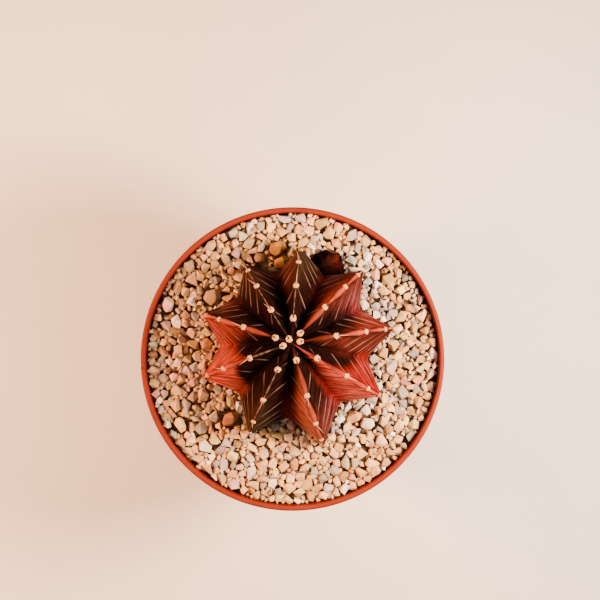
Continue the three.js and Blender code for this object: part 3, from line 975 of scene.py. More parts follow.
@dataclass(frozen=True)
class Form:
    """The plant's form: an ellipse of revolution pulled out into ribs, with areoles and bands in rows.

    The meridian angle runs from 0 at the crown to a right angle at the widest level, in equal rows.
    """

    centre: tuple[float, float] = (0.7 * MM, 4.2 * MM)
    crown_shift: tuple[float, float] = (-0.9 * MM, 1.0 * MM)
    crown_dip: float = 0.6 * MM
    widest: float = 73.5 * MM
    crown_height: float = 22 * MM
    belly_height: float = 13 * MM
    furrow_reach: float = 20.8 * MM
    furrow_widest: float = math.radians(120)  # of the row that meets the furrow at its widest
    neck_radius: float = 7 * MM
    root_length: float = 15 * MM
    rows_to_widest: int = 38
    banded_rows: int = 49
    rows_per_areole: int = 9
    close_from: int = 26  # the row from which the bands stand closer
    close_rows: int = 5
    last_areole: int = 39
    pad_radii: tuple[float, float] = (0.60 * MM, 0.80 * MM)  # of the oldest and of the youngest areole
    chin: float = 0.8 * MM
    chin_skew: float = 0.8  # under 1, the swelling is fullest early on
    crest_at_areole: float = 0.25 * MM
    crest_bevel: float = 0.35
    flat_skew: float = 1.8  # over 1, the flat is widest late
    flat_outside: float = 0.5  # how wide it is low down, as a share of its width near the crown
    flat_narrows: tuple[float, float] = (0.45, 0.85)  # where it does so, as shares of the way down
    neck_power: float = 0.9

    @property
    def row(self) -> float:
        """The meridian angle between one row and the next."""
        return math.pi / 2 / self.rows_to_widest

    def axis(self, angle: np.ndarray) -> np.ndarray:
        """Where the upright axis is at a meridian angle."""
        lean = np.maximum(0, np.cos(angle))[..., None]
        return np.array([*self.centre, 0]) + np.array([*self.crown_shift, 0]) * lean

    def level(self, angle: np.ndarray) -> np.ndarray:
        """The height of a meridian angle."""
        half_height = np.where(angle < math.pi / 2, self.crown_height, self.belly_height)
        return self.widest + half_height * np.cos(angle)

    def reach(self, angle: np.ndarray, full: float, power: float) -> np.ndarray:
        """Works out how far out a crest or a furrow is.

        Args:
            angle: the meridian angle.
            full: how far out it is at the widest level.
            power: 1 for a crest and 2 for a furrow.

        Returns:
            The distance from the axis.
        """
        share = np.maximum(0, np.sin(angle))
        under = mix(self.neck_radius, full, share**self.neck_power)
        return np.where(angle < math.pi / 2, full * share**power, under)

    def bands(self, rib: Rib) -> np.ndarray:
        """The rows that carry a raised band: one at each areole, then closer ones towards the neck."""
        open_rows = np.arange(rib.first_row, self.close_from, self.rows_per_areole)
        close_rows = np.arange(open_rows[-1] + self.close_rows, self.banded_rows, self.close_rows)
        return np.concatenate([open_rows, close_rows])

    def past_areole(self, rib: Rib, angle: np.ndarray) -> np.ndarray:
        """How far an angle is past the last areole above it on a rib, from 0 to 1."""
        rows = angle / self.row - rib.first_row + self.rows_per_areole
        return np.mod(rows, self.rows_per_areole) / self.rows_per_areole

    def crest_normal(self, rib: Rib, angle: np.ndarray) -> np.ndarray:
        """Finds the direction off the surface at a crest.

        Args:
            rib: which rib.
            angle: the meridian angle.

        Returns:
            The unit vector, along a new last axis.
        """
        out = heading(np.full_like(angle, rib.turn)) * np.sin(angle)[..., None]
        out[..., 2] = np.cos(angle)
        return out

    def crest(self, rib: Rib, angle: np.ndarray) -> np.ndarray:
        """Finds points on a crest line, which swells out into a chin between one areole and the next.

        Args:
            rib: which rib.
            angle: their meridian angles.

        Returns:
            Their places, along a new last axis.
        """
        fade = np.clip(2 * np.sin(angle), 0, 1)
        swell = self.chin * fade * np.sin(math.pi * self.past_areole(rib, angle) ** self.chin_skew)
        out = self.reach(angle, rib.reach - self.chin / 2, 1)
        point = self.axis(angle) + heading(np.full_like(angle, rib.turn)) * out[..., None]
        point[..., 2] = self.level(angle)
        return point + self.crest_normal(rib, angle) * swell[..., None]

    def crest_half(self, rib: Rib, angle: np.ndarray) -> np.ndarray:
        """Works out the half width of the flat on a crest, narrow past each areole and wide before the next.

        Args:
            rib: which rib.
            angle: the meridian angle.

        Returns:
            The half width.
        """
        widening = np.sin(math.pi * self.past_areole(rib, angle) ** self.flat_skew)
        flat = rib.flat * mix(1, self.flat_outside, smoothstep(*self.flat_narrows, angle / (math.pi / 2)))
        return mix(self.crest_at_areole, flat, widening) * np.clip(4 * np.sin(angle), 0, 1)

    def furrow_angle(self, angle: np.ndarray) -> np.ndarray:
        """Works out the furrow's own meridian angle, which stays behind as the rows slant up to the crest.

        Args:
            angle: the crest's meridian angle in the same row.

        Returns:
            The furrow's.
        """
        above = np.arcsin(np.sqrt(np.sin(math.pi / 2 * np.clip(angle / self.furrow_widest, 0, 1))))
        under = mix(math.pi / 2, math.pi, (angle - self.furrow_widest) / (math.pi - self.furrow_widest))
        return np.where(angle < self.furrow_widest, above, under)

    def furrow(self, bearing: float, angle: np.ndarray) -> np.ndarray:
        """Finds points at the bottom of a furrow.

        Args:
            bearing: the furrow's bearing in radians.
            angle: the crest's meridian angles in the same rows.

        Returns:
            Their places, along a new last axis.
        """
        own = self.furrow_angle(angle)
        out = self.reach(own, self.furrow_reach, 2)
        point = self.axis(own) + heading(np.full_like(angle, bearing)) * out[..., None]
        point[..., 2] = self.level(own)
        return point

    def outline(self, bearings: np.ndarray, angle: float) -> np.ndarray:
        """Works out how far the body reaches at one meridian angle, by straight flanks.

        Args:
            bearings: the directions in which it is wanted, in radians.
            angle: the meridian angle.

        Returns:
            The distance from the axis in each direction.
        """
        angles = np.array(angle)
        found = np.zeros_like(bearings)
        for i, rib in enumerate(RIBS):
            following = RIBS[(i + 1) % len(RIBS)]
            half = math.radians((following.bearing - rib.bearing) % 360) / 2
            for crest, side in ((rib, 1), (following, -1)):
                off = np.mod(side * (bearings - crest.turn), 2 * math.pi)
                near = float(self.reach(angles, crest.reach, 1))
                far = float(self.reach(angles, self.furrow_reach, 2))
                edge = near * far * math.sin(half) / (near * np.sin(off) + far * np.sin(half - off) + TINY)
                found = np.where(off <= half, edge, found)
        return found


class Side(Enum):
    """The two flanks of a rib: LEFT is the anticlockwise one."""

    LEFT = 1
    RIGHT = -1


@dataclass(frozen=True)
class Shades:
    """Where the shades of a flank lie. The darkening of the furrow and the shading across the flat on a crest
    are painted shade.

    Shares down run from 0 at the crown to 1 at the widest level, and shares across from 0 at the crest to 1
    in the furrow. Shares past an areole run from 0 at it to 1 at the next, and shares on the flat from 0 in
    its middle to 1 at its edge.
    """

    seam: float = 0.75  # the share across where the next flank's colour begins to come in
    furrow_painted_shade: tuple[float, float] = (0.55, 0.8)  # painted shade in the furrow: how much colour is left, high and low
    furrow_change: tuple[float, float] = (0.55, 0.85)  # the shares down between which that changes
    furrow_across: tuple[float, float] = (0.5, 1)  # the shares across between which the furrow darkens with painted shade
    crown: tuple[float, float] = (0.03, 0.16)  # the shares down between which the crest's colour begins
    line_lag: float = 0.6  # how many rows past the first areole a thin line takes to begin
    outer_tone: tuple[float, float] = (0.15, 0.55)  # the shares down between which the outer tone comes in
    beside: Triple = (0.02, 0.04, 0.2)  # where the dark beside a flat begins, fades and ends
    beside_depth: float = 0.6  # how dark that is
    flat_edge: tuple[float, float] = (0.6, 1.0)  # the shares on the flat between which its colour fades
    flat_begins: tuple[float, float] = (0.0, 0.3)  # the shares past an areole between which it begins
    flat_along: tuple[float, float] = (0.55, 1.2)  # how bright the flat is past an areole and before the next
    flat_painted_shading: tuple[float, float] = (1.2, 0.6)  # painted shading: how bright it is in its middle and at its edge
    line_edge: tuple[float, float] = (0.1, 0.7)  # the shares on the flat between which a thin line fades
    line_faint: float = 0.35  # how much of a thin line is left between its dots
    dots: tuple[float, float] = (-0.7, 0.3)  # between which, on a wave from -1 to 1, a dot begins
    dot_waves: Triple = (2.7, 2, 0.8)  # frequency, and how much and how fast that strays
    scuffs: tuple[float, float] = (1.05, 1.3)  # the shares down between which corky scuffs begin


@dataclass
class Body:
    """The banded body, laid over the grid of a sphere."""

    form: Form
    shades: Shades = Shades()
    columns_per_flank: int = 24
    crest_columns: int = 3
    crowding: float = 1.1  # over 1, the columns stand closer near the crest
    band_rows: tuple[float, ...] = (-0.30, -0.10, 0.10, 0.30)  # where the rings lie round a raised band
    band_relief: float = 0.16 * MM
    band_spans: tuple[tuple[float, float], ...] = ((0.8, 1.0), (0.0, 0.3), (0.8, 1.0))  # strength and ends
    band_draws: int = 12  # more than a rib has bands
    band_rise: float = 0.4  # over how much of the way across a band rises
    band_fall: float = 0.12  # and over how much it falls at its end
    band_at_crest: float = 0.2  # how high it is at the crest, as a share
    first_full_row: int = 14  # from which the bands are at their strongest
    groove: float = 0.22 * MM
    groove_power: float = 0.7  # under 1, the grooves between the bands are flat at the bottom
    groove_from: float = 0.25  # the share of the way across where they are at their deepest
    lumps: float = 0.14 * MM
    lump_size: float = 3.2 * MM
    lumpy_rows: tuple[float, float] = (3, 12)  # between which the lumps come in
    wander: float = 0.45  # how far the bands stray, in rows
    wander_every: int = 2
    wander_past: int = 40  # how many rows past the last band it is drawn for
    calm_rows: tuple[int, int] = (8, 12)  # over which it dies away, at the crown and past the last band
    belly_rings: int = 10
    root_rings: int = 5
    root_power: float = 1.6
    seed: int = 5

    def rings(self) -> np.ndarray:
        """The row of every ring below the crown, close together where a band may stand."""
        banded = [row + offset for row in range(1, self.form.banded_rows + 1) for offset in self.band_rows]
        last = 2 * self.form.rows_to_widest
        belly = np.linspace(banded[-1], last, self.belly_rings + 1)[1:]
        return np.array([*banded, *belly])

    def flank(self, index: int, side: Side, rows: np.ndarray) -> dict[str, np.ndarray]:
        """Works out one flank from its crest to its furrow.

        Args:
            index: which rib.
            side: which of its flanks.
            rows: the row of every ring.

        Returns:
            The place, relief and colouring of every vertex, one line for each ring.
        """
        form, rib = self.form, RIBS[index]
        neighbour = RIBS[(index + side.value) % len(RIBS)]
        half = math.radians((side.value * (neighbour.bearing - rib.bearing)) % 360) / 2
        furrow_bearing = rib.turn + side.value * half
        steps = np.arange(self.columns_per_flank + 1)
        across = np.clip((steps - self.crest_columns) / (self.columns_per_flank - self.crest_columns), 0, 1)
        across = across**self.crowding
        on_flat = np.clip(steps / self.crest_columns, 0, 1)
        draw = np.random.default_rng(self.seed + 10 * index + side.value)
        knots = np.arange(0, form.banded_rows + self.wander_past, self.wander_every)
        stray = np.interp(rows, knots, self.wander * draw.uniform(-1, 1, len(knots)))
        calm, still = self.calm_rows
        fade = smoothstep(0, calm, rows) * smoothstep(form.banded_rows + still, form.banded_rows, rows)
        shift = (fade * stray)[:, None] * np.sin(math.pi * across)[None, :]
        angle = np.minimum((rows[:, None] + shift) * form.row, math.pi)

        crest = form.crest(rib, angle)
        sideways = heading(np.array(rib.turn + side.value * math.pi / 2))
        on_crest = on_flat[None, :, None]
        flat = form.crest_half(rib, angle)[..., None] * on_crest
        edge = crest + sideways * flat - form.crest_normal(rib, angle) * form.crest_bevel * flat * on_crest
        place = mix(edge, form.furrow(furrow_bearing, angle), across[None, :, None])

        aside = np.abs(rows[:, None] - form.bands(rib)[None, :])
        off, which = aside.min(axis=1), aside.argmin(axis=1)
        ridge = smoothstep(self.band_rows[3], self.band_rows[2], off)
        # Every band has its own strength, and begins and ends at its own shares of the way across.
        strength, begin, end = (draw.uniform(*span, self.band_draws)[which] for span in self.band_spans)
        rise = (across[None, :] - begin[:, None]) / self.band_rise
        fall = (across[None, :] - end[:, None] + self.band_fall) / self.band_fall
        along = mix(self.band_at_crest, 1, smoothstep(0, 1, rise)) * (1 - smoothstep(0, 1, fall))
        band = (ridge * strength * smoothstep(0, self.first_full_row, rows))[:, None] * along
        valley = np.clip(2 * off / form.rows_per_areole, 0, 1)[:, None] ** self.groove_power
        valley = valley * smoothstep(0, self.groove_from, across)[None, :]
        return {
            "place": place,
            "relief": self.band_relief * band - self.groove * valley * fade[:, None],
            "band": band,
            "strand": np.stack([angle / form.row, np.broadcast_to(across, angle.shape), 0 * angle], axis=-1),
            **self.colouring(rib, side, neighbour, angle, across, on_flat),
        }

    def colouring(
        self, rib: Rib, side: Side, neighbour: Rib, angle: np.ndarray, across: np.ndarray, on_flat: np.ndarray
    ) -> dict[str, np.ndarray]:
        """Works out the colour of one flank, with painted shade in its furrow and painted shading across the
        flat on its crest.

        Args:
            rib: the flank's rib.
            side: which of its flanks.
            neighbour: the rib on the other side of the furrow.
            angle: the meridian angle of every vertex.
            across: how far each column is from the crest, from 0 to 1 in the furrow.
            on_flat: how far each column is from the middle of the flat on the crest.

        Returns:
            The colour with its painted light and shade, and how much corky scuffing each vertex may have.
        """
        shades = self.shades
        down = angle / (math.pi / 2)
        own = rib.left if side is Side.LEFT else rib.right
        other = neighbour.right if side is Side.LEFT else neighbour.left

        def painted(flank: Flank, share: np.ndarray) -> np.ndarray:
            """One flank's pigment at a share of the way from crest to furrow."""
            start = flank.start + flank.lag * share
            grown = smoothstep(0, 1, (down - start) / flank.blend)[..., None]
            outer = mix(np.array(flank.crest.value), np.array(flank.furrow.value), share[..., None])
            return mix(np.array(Tint.INK.value), outer, grown)

        share = np.broadcast_to(across, down.shape)
        pigment = painted(own, share)
        seam = smoothstep(shades.seam, 1, share)[..., None]
        pigment = mix(pigment, (painted(own, share) + painted(other, share)) / 2, seam)
        # Painted shade: the colour darkens towards the bottom of the furrow.
        deep = mix(*shades.furrow_painted_shade, smoothstep(*shades.furrow_change, down))
        pigment = pigment * mix(1, deep, smoothstep(*shades.furrow_across, share))[..., None]
        past, row = self.form.past_areole(rib, angle), angle / self.form.row
        begun = smoothstep(*shades.crown, down)
        if rib.lines[0] is Crest.LINE:
            begun = begun * smoothstep(0, shades.line_lag, row - rib.first_row)
        outside = row > rib.first_row + self.form.rows_per_areole
        for crest, here in zip(rib.lines, (begun * ~outside, begun * outside)):
            inner, outer = (np.array(tone) for tone in crest.value)
            tone = mix(inner, outer, smoothstep(*shades.outer_tone, down)[..., None])
            if crest is not Crest.LINE:
                begins, fades, ends = shades.beside
                beside = smoothstep(0, begins, share) * (1 - smoothstep(fades, ends, share))
                beside = beside * np.sin(math.pi * past)
                pigment = pigment * (1 - shades.beside_depth * here * beside)[..., None]
                cover = (1 - smoothstep(*shades.flat_edge, on_flat))[None, :]
                cover = cover * smoothstep(*shades.flat_begins, past)
                # Painted shading: the flat on the crest is lighter in its middle and darker at its edge.
                bright = mix(*shades.flat_along, past) * mix(*shades.flat_painted_shading, on_flat)[None, :]
                tone = tone * bright[..., None]
            else:
                often, much, fast = shades.dot_waves
                dots = smoothstep(*shades.dots, np.sin(often * row + much * np.sin(fast * row)))
                cover = (1 - smoothstep(*shades.line_edge, on_flat))[None, :]
                cover = cover * mix(shades.line_faint, 1, dots)
            pigment = mix(pigment, tone, (here * cover)[..., None])
        return {"pigment": pigment, "scuff": smoothstep(*shades.scuffs, down) * np.ones_like(share)}

    def gather(self, rows: np.ndarray, columns: int) -> dict[str, np.ndarray]:
        """Lays all the flanks side by side.

        Args:
            rows: the row of every ring.
            columns: how many columns go round.

        Returns:
            The place, relief and colouring of every vertex, one line for each ring.
        """
        widths = {"place": (3,), "relief": (), "band": (), "strand": (3,), "pigment": (3,), "scuff": ()}
        grid = {key: np.zeros((len(rows), columns, *width)) for key, width in widths.items()}
        for index in range(len(RIBS)):
            for side in Side:
                steps = np.arange(self.columns_per_flank + 1) * side.value
                where = (2 * self.columns_per_flank * index + steps) % columns
                for key, values in self.flank(index, side, rows).items():
                    grid[key][:, where] = values
        return grid

    def build(self, finish: SkinFinish) -> bpy.types.Object:
        """Models and dresses the body.

        Args:
            finish: its finish.

        Returns:
            The body.
        """
        form = self.form
        columns = 2 * self.columns_per_flank * len(RIBS)
        grid = self.gather(self.rings(), columns)
        self.raise_relief(grid)
        self.grow_root(grid, columns)

        bm = bmesh.new()
        rings = len(grid["band"])
        bmesh.ops.create_uvsphere(bm, u_segments=columns, v_segments=rings + 1, radius=1)
        mesh = mesh_of(bm, "cactus_body", ALL_SMOOTH)
        ball = positions(mesh)
        ring = np.rint(np.arccos(np.clip(ball[:, 2], -1, 1)) / math.pi * (rings + 1)).astype(int)
        column = np.rint(np.arctan2(ball[:, 1], ball[:, 0]) / (2 * math.pi) * columns).astype(int) % columns
        inner = np.clip(ring - 1, 0, rings - 1)
        place = grid["place"][inner, column]
        crown = form.axis(np.array(0.0))
        crown[2] = form.level(np.array(0.0)) - form.crown_dip
        place[ring == 0] = crown
        place[ring == rings + 1] = (*form.centre, form.widest - form.belly_height - form.root_length)
        reshape(mesh, place, {key: grid[key][inner, column] for key in SKIN_VALUES})
        return as_piece(mesh, "cactus_body", finish.material(), ["cactus"])

    def raise_relief(self, grid: dict[str, np.ndarray]) -> None:
        """Moves every vertex off the plain flanks by its relief and by soft lumps.

        Args:
            grid: the places and the relief, one line for each ring.
        """
        place = grid["place"]
        round_it = np.roll(place, -1, axis=1) - np.roll(place, 1, axis=1)
        off = np.cross(np.gradient(place, axis=0), round_it)
        off /= np.linalg.norm(off, axis=-1, keepdims=True) + TINY
        lumps = lumps_at(place.reshape(-1, 3) / self.lump_size).reshape(place.shape[:2])
        fade = smoothstep(*self.lumpy_rows, self.rings())[:, None]
        grid["place"] = place + off * (grid["relief"] + self.lumps * lumps * fade)[..., None]

    def grow_root(self, grid: dict[str, np.ndarray], columns: int) -> None:
        """Adds the rings of the blunt root under the neck.

        Args:
            grid: what they are added to, one line for each ring.
            columns: how many columns go round.
        """
        form = self.form
        bearing = RIBS[0].turn + 2 * math.pi * np.arange(columns) / columns
        for i in range(1, self.root_rings):
            down = i / self.root_rings
            out = heading(bearing) * form.neck_radius * (1 - down**self.root_power)
            ring = np.array([*form.centre, 0]) + out
            ring[:, 2] = form.widest - form.belly_height - form.root_length * down
            grid["place"] = np.concatenate([grid["place"], ring[None]])
            for key in SKIN_VALUES:
                grid[key] = np.concatenate([grid[key], grid[key][-1:]])


@dataclass(frozen=True)
class Areole:
    """One woolly pad.

    Attributes:
        at: its place.
        down: the direction down the rib.
        side: the direction across the rib.
        out: the direction off the surface.
        radius: its radius.
        youth: how young it is, from 0 to 1.
        tip: whether it is the last one of its rib.
    """

    at: Vector
    down: Vector
    side: Vector
    out: Vector
    radius: float
    youth: float
    tip: bool

    @property
    def seat(self) -> Matrix:
        """The pad's own axes: down the rib, across it and off it."""
        turn = Matrix((self.down, self.side, self.out)).transposed().to_4x4()
        return Matrix.Translation(self.at) @ turn


def areoles(form: Form) -> list[Areole]:
    """Finds every areole.

    Args:
        form: the plant's form.

    Returns:
        The areoles, from the crown down each rib.
    """
    found = []
    for rib in RIBS:
        rows = range(rib.first_row, form.last_areole + 1, form.rows_per_areole)
        for row in rows:
            angle = np.array(row * form.row)
            out, side = Vector(form.crest_normal(rib, angle)), toward(rib.bearing + 90)
            youth = 1 - row / form.last_areole
            at, radius = Vector(form.crest(rib, angle)), mix(*form.pad_radii, youth)
            found.append(Areole(at, side.cross(out), side, out, radius, youth, row == rows[-1]))
    return found


@dataclass
class Wool:
    """The felted pads, each a low dome with a long dimple on its outer side and loose fibres."""

    pads: list[Areole]
    flatness: float = 0.66
    dimple: Triple = (0.42, 0.66, 0.4)  # how far down the rib, half length and half width
    dimple_depth: float = 0.5
    dimple_edge: tuple[float, float] = (1.0, 0.45)
    dimple_youth: tuple[float, float] = (0.6, 0.8)  # between which the dimple deepens: an old pad has none
    tail: float = 0.35  # how far a young pad is drawn out down the rib
    fluff: float = 0.3
    tufts: tuple[float, float] = (2.3, 6)  # how close the coarse and the fine tufts stand
    fibres: int = 30
    fibre_length: float = 0.3 * MM
    fibre_lengths: tuple[float, float] = (0.6, 1.3)  # as shares of that
    fibre_radius: float = 0.02 * MM
    fibre_tilt: tuple[float, float] = (1.1, 1.5)  # off the pad's own axis, in radians
    fibre_lean: float = 0.5
    fibre_depth: float = 0.86  # how far out on the pad it begins
    fibre_sides: int = 3
    seed: int = 3

    def build(self, finish: WoolFinish) -> bpy.types.Object:
        """Models and dresses every pad as one piece.

        Args:
            finish: its finish.

        Returns:
            The piece.
        """
        draw = np.random.default_rng(self.seed)
        heap = Heap()
        for pad in self.pads:
            bm = bmesh.new()
            depths = self.add_pad(bm, pad)
            for _ in range(self.fibres):
                self.add_fibre(bm, pad, draw)
            heap.add(bm, depths + [0.0] * (len(bm.verts) - len(depths)))
        mesh = heap.mesh("areole_wool", "dimple", ALL_SMOOTH)
        return as_piece(mesh, "areole_wool_pads", finish.material())

    def add_pad(self, bm: bmesh.types.BMesh, pad: Areole) -> list[float]:
        """Adds the dome of one pad.

        Args:
            bm: what it is added to.
            pad: its place and size.

        Returns:
            How deep in the dimple each of its vertices is, which sets the painted shade there.
        """
        made = bmesh.ops.create_icosphere(bm, subdivisions=4, radius=1)["verts"]
        depths = []
        middle, long, wide = self.dimple
        coarse, fine = self.tufts
        young = float(smoothstep(*self.dimple_youth, pad.youth))
        spot = pad.at / MM
        for vert in made:
            away = math.hypot((vert.co.x - middle) / long, vert.co.y / wide)
            depth = float(smoothstep(*self.dimple_edge, away)) * young * (vert.co.z > 0)
            rough = noise.noise(vert.co * coarse + spot) + 0.5 * noise.noise(vert.co * fine + spot)
            vert.co *= 1 + self.fluff * rough
            vert.co.x *= 1 + self.tail * pad.youth * (vert.co.x > 0)
            vert.co.z = (vert.co.z - self.dimple_depth * depth) * self.flatness
            vert.co *= pad.radius
            depths.append(depth)
        bmesh.ops.transform(bm, matrix=pad.seat, verts=made)
        return depths

    def add_fibre(self, bm: bmesh.types.BMesh, pad: Areole, draw: np.random.Generator) -> None:
        """Adds one loose fibre.

        Args:
            bm: what it is added to.
            pad: the pad that it stands on.
            draw: the seeded draw that places and shapes it.
        """
        turn = draw.uniform(0, 2 * math.pi)
        tilt = draw.uniform(*self.fibre_tilt)
        out = Vector((math.cos(turn) * math.sin(tilt), math.sin(turn) * math.sin(tilt), math.cos(tilt)))
        root = Vector((out.x, out.y, out.z * self.flatness)) * pad.radius * self.fibre_depth
        lean = Vector(draw.uniform(-self.fibre_lean, self.fibre_lean, 3))
        aim = (out + lean).normalized().to_track_quat("Z", "X").to_matrix().to_4x4()
        length = self.fibre_length * draw.uniform(*self.fibre_lengths)
        place = pad.seat @ Matrix.Translation(root) @ aim @ Matrix.Translation((0, 0, length / 3))
        add_peg(bm, self.fibre_radius, self.fibre_radius / 4, length, self.fibre_sides, place)


@dataclass(frozen=True)
class SpineShape:
    """One kind of spine.

    Attributes:
        length: its length.
        radius: the radius of its root.
        spread: how far it turns across the rib, in radians.
        rise: how steeply it leaves the rib, in radians.
        curl: how much it bends back down.
    """

    length: float
    radius: float
    spread: float
    rise: float
    curl: float


@dataclass
class Spines:
    """The spines: one on each areole, finer ones beside many and a tangle of the finest at the tips."""

    pads: list[Areole]
    sides: int = 6
    joints: int = 6
    main: SpineShape = SpineShape(3.3 * MM, 0.15 * MM, 0.5, 0.42, 0.5)
    minor: SpineShape = SpineShape(1.5 * MM, 0.045 * MM, 0.7, 0.4, 1.0)
    fine: SpineShape = SpineShape(2.9 * MM, 0.035 * MM, 0.6, 0.3, 0.6)
    lengths: tuple[float, float] = (0.6, 1.1)  # as shares of a kind's length
    rises: tuple[float, float] = (0.8, 1.2)  # as shares of a kind's rise
    stray: float = 0.12
    root: tuple[float, float] = (0.55, 0.2)  # down the rib and off the pad, as shares of its radius
    blunt: float = 0.03  # how much of the root's radius is left at the point
    bare_youth: float = 0.75  # a younger areole has no spine yet
    minor_share: float = 0.45
    fine_on_tip: int = 6
    sharp_over: float = 60  # in degrees
    seed: int = 8

    def build(self, finish: SpineFinish) -> bpy.types.Object:
        """Models and dresses every spine as one piece.

        Args:
            finish: its finish.

        Returns:
            The piece.
        """
        draw = np.random.default_rng(self.seed)
        heap = Heap()
        for pad in (pad for pad in self.pads if pad.youth < self.bare_youth):
            self.add(heap, pad, self.main, draw.uniform(-1, 1) * self.main.spread, draw)
            for side in Side:
                if draw.uniform() < self.minor_share:
                    self.add(heap, pad, self.minor, side.value * self.minor.spread, draw)
            if pad.tip:
                for _ in range(self.fine_on_tip):
                    self.add(heap, pad, self.fine, draw.uniform(-1, 1) * self.fine.spread, draw)
        return as_piece(heap.mesh("spines", "along", self.sharp_over), "spines", finish.material())

    def add(self, heap: Heap, pad: Areole, shape: SpineShape, lean: float, draw: np.random.Generator) -> None:
        """Grows one spine from a pad: a small ring drawn out joint by joint to a point.

        Args:
            heap: where it is gathered, with how far along the spine each vertex is.
            pad: the areole that it grows from.
            shape: its kind.
            lean: how far it turns across the rib, in radians.
            draw: the seeded draw that its length and curl stray by.
        """
        length = shape.length * draw.uniform(*self.lengths)
        rise = shape.rise * draw.uniform(*self.rises)
        start = Vector((self.root[0] * pad.radius, 0, self.root[1] * pad.radius))
        turn = Matrix.Rotation(lean + draw.uniform(-self.stray, self.stray), 4, "Z")

        def joint(share: float) -> Vector:
            """A place along the spine, in the pad's own axes."""
            reach = share * math.cos(rise * (1 - share))
            lift = rise * share * (1 - 0.5 * shape.curl * share)
            return start + turn.to_3x3() @ Vector((reach, 0, lift)) * length

        bm = bmesh.new()
        ring = bmesh.ops.create_circle(bm, cap_ends=True, segments=self.sides, radius=shape.radius)["verts"]
        shares = [0.0] * self.sides
        face = ring[0].link_faces[0]
        aim = (joint(1 / self.joints) - joint(0)).to_track_quat("Z", "X").to_matrix().to_4x4()
        bmesh.ops.transform(bm, matrix=pad.seat @ Matrix.Translation(joint(0)) @ aim, verts=ring)
        for i in range(1, self.joints + 1):
            share = i / self.joints
            grown = bmesh.ops.extrude_face_region(bm, geom=[face])["geom"]
            verts = [item for item in grown if isinstance(item, bmesh.types.BMVert)]
            face = next(item for item in grown if isinstance(item, bmesh.types.BMFace))
            move = pad.seat.to_3x3() @ (joint(share) - joint(share - 1 / self.joints))
            bmesh.ops.translate(bm, vec=move, verts=verts)
            middle = sum((vert.co for vert in verts), Vector()) / len(verts)
            left = 1 + self.blunt - share
            shrink = left / (left + 1 / self.joints)
            bmesh.ops.scale(bm, vec=(shrink,) * 3, space=Matrix.Translation(-middle), verts=verts)
            shares += [share] * self.sides
        bmesh.ops.recalc_face_normals(bm, faces=bm.faces)
        heap.add(bm, shares)


@dataclass
class Offset:
    """The young offset at the foot of the plant, a small ribbed ball in a hollow of the gravel."""

    form: Form
    bearing: float = 68  # in degrees
    reach: float = 23.4 * MM
    radius: float = 4.5 * MM
    height: float = 4.2 * MM
    level: float = 66.6 * MM
    ribs: int = 8
    columns_per_rib: int = 16
    rings: int = 48
    relief: float = 0.05
    lumps: float = 0.03
    lump_crowding: float = 2.6
    strand_scale: float = 1.5
    painted_light_span: tuple[float, float] = (-0.2, 0.9)  # painted light: between which, towards +X and the right lamp, it goes from dark to red
    redness: float = 0.5
    furrow_red_with_painted_shade: float = 0.6  # painted shade: how red its furrows are, as a share of its ribs' red

    @property
    def centre(self) -> Vector:
        """The middle of the offset."""
        return Vector((*self.form.centre, self.level)) + self.reach * toward(self.bearing)

    def build(self, finish: SkinFinish) -> bpy.types.Object:
        """Models and dresses the offset.

        Args:
            finish: its finish.

        Returns:
            The offset.
        """
        bm = bmesh.new()
        columns = self.columns_per_rib * self.ribs
        bmesh.ops.create_uvsphere(bm, u_segments=columns, v_segments=self.rings, radius=1)
        mesh = mesh_of(bm, "offset", ALL_SMOOTH)
        ball = positions(mesh)
        wave = 0.5 + 0.5 * np.cos(self.ribs * np.arctan2(ball[:, 1], ball[:, 0]))
        rib = self.relief * (2 * wave - 1) * (1 - ball[:, 2] ** 2)
        lumps = self.lumps * lumps_at(ball * self.lump_crowding)
        size = np.array([self.radius, self.radius, self.height]) * (1 + rib + lumps)[:, None]
        # Painted light and shade: the red comes in on the side towards +X and is darker in the furrows.
        red = smoothstep(*self.painted_light_span, ball[:, 0]) * mix(self.furrow_red_with_painted_shade, 1, wave)
        dark, bright = np.array(Tint.INK.value), self.redness * np.array(Tint.MAROON.value)
        values = {
            "pigment": mix(dark, bright, red[:, None]),
            "band": np.zeros(len(ball)),
            "strand": ball * self.strand_scale,
            "scuff": np.zeros(len(ball)),
        }
        reshape(mesh, ball * size + np.array(self.centre), values)
        return as_piece(mesh, "offset", finish.material())


# ---------------------------------------------------------------- the stones


class StoneKind(Enum):
    """The kinds of stone in the top dressing: how many of a hundred, and the finish."""

    CREAM = (50, StoneFinish("cream_chip", (0.76, 0.50, 0.26), (0.64, 0.40, 0.19)))
    PINK = (7, StoneFinish("pink_chip", (0.78, 0.43, 0.29), (0.64, 0.34, 0.22)))
    GREY = (16, StoneFinish("grey_chip", (0.48, 0.39, 0.34), (0.36, 0.29, 0.26), flecked=0.4))
    TAN = (20, StoneFinish("tan_chip", (0.58, 0.32, 0.14), (0.44, 0.23, 0.09)))
    WHITE = (7, StoneFinish("white_chip", (0.90, 0.76, 0.64), (0.80, 0.65, 0.52), flecked=0.1, shine=0.4))

    @property
    def share(self) -> int:
        """How many of a hundred chips are of this kind."""
        return self.value[0]

    @property
    def finish(self) -> StoneFinish:
        """Its finish."""
        return self.value[1]


@dataclass(frozen=True)
class Chip:
    """One dropped chip.

    Attributes:
        half: its half sizes.
        turn: its turn about +Z, in radians.
        tilt: its tilts about +X and +Y, in radians.
        at: its place.
        kind: its kind.
        tone: how bright it is in each of its three colours.
    """

    half: np.ndarray
    turn: float
    tilt: tuple[float, float]
    at: Vector
    kind: StoneKind
    tone: np.ndarray


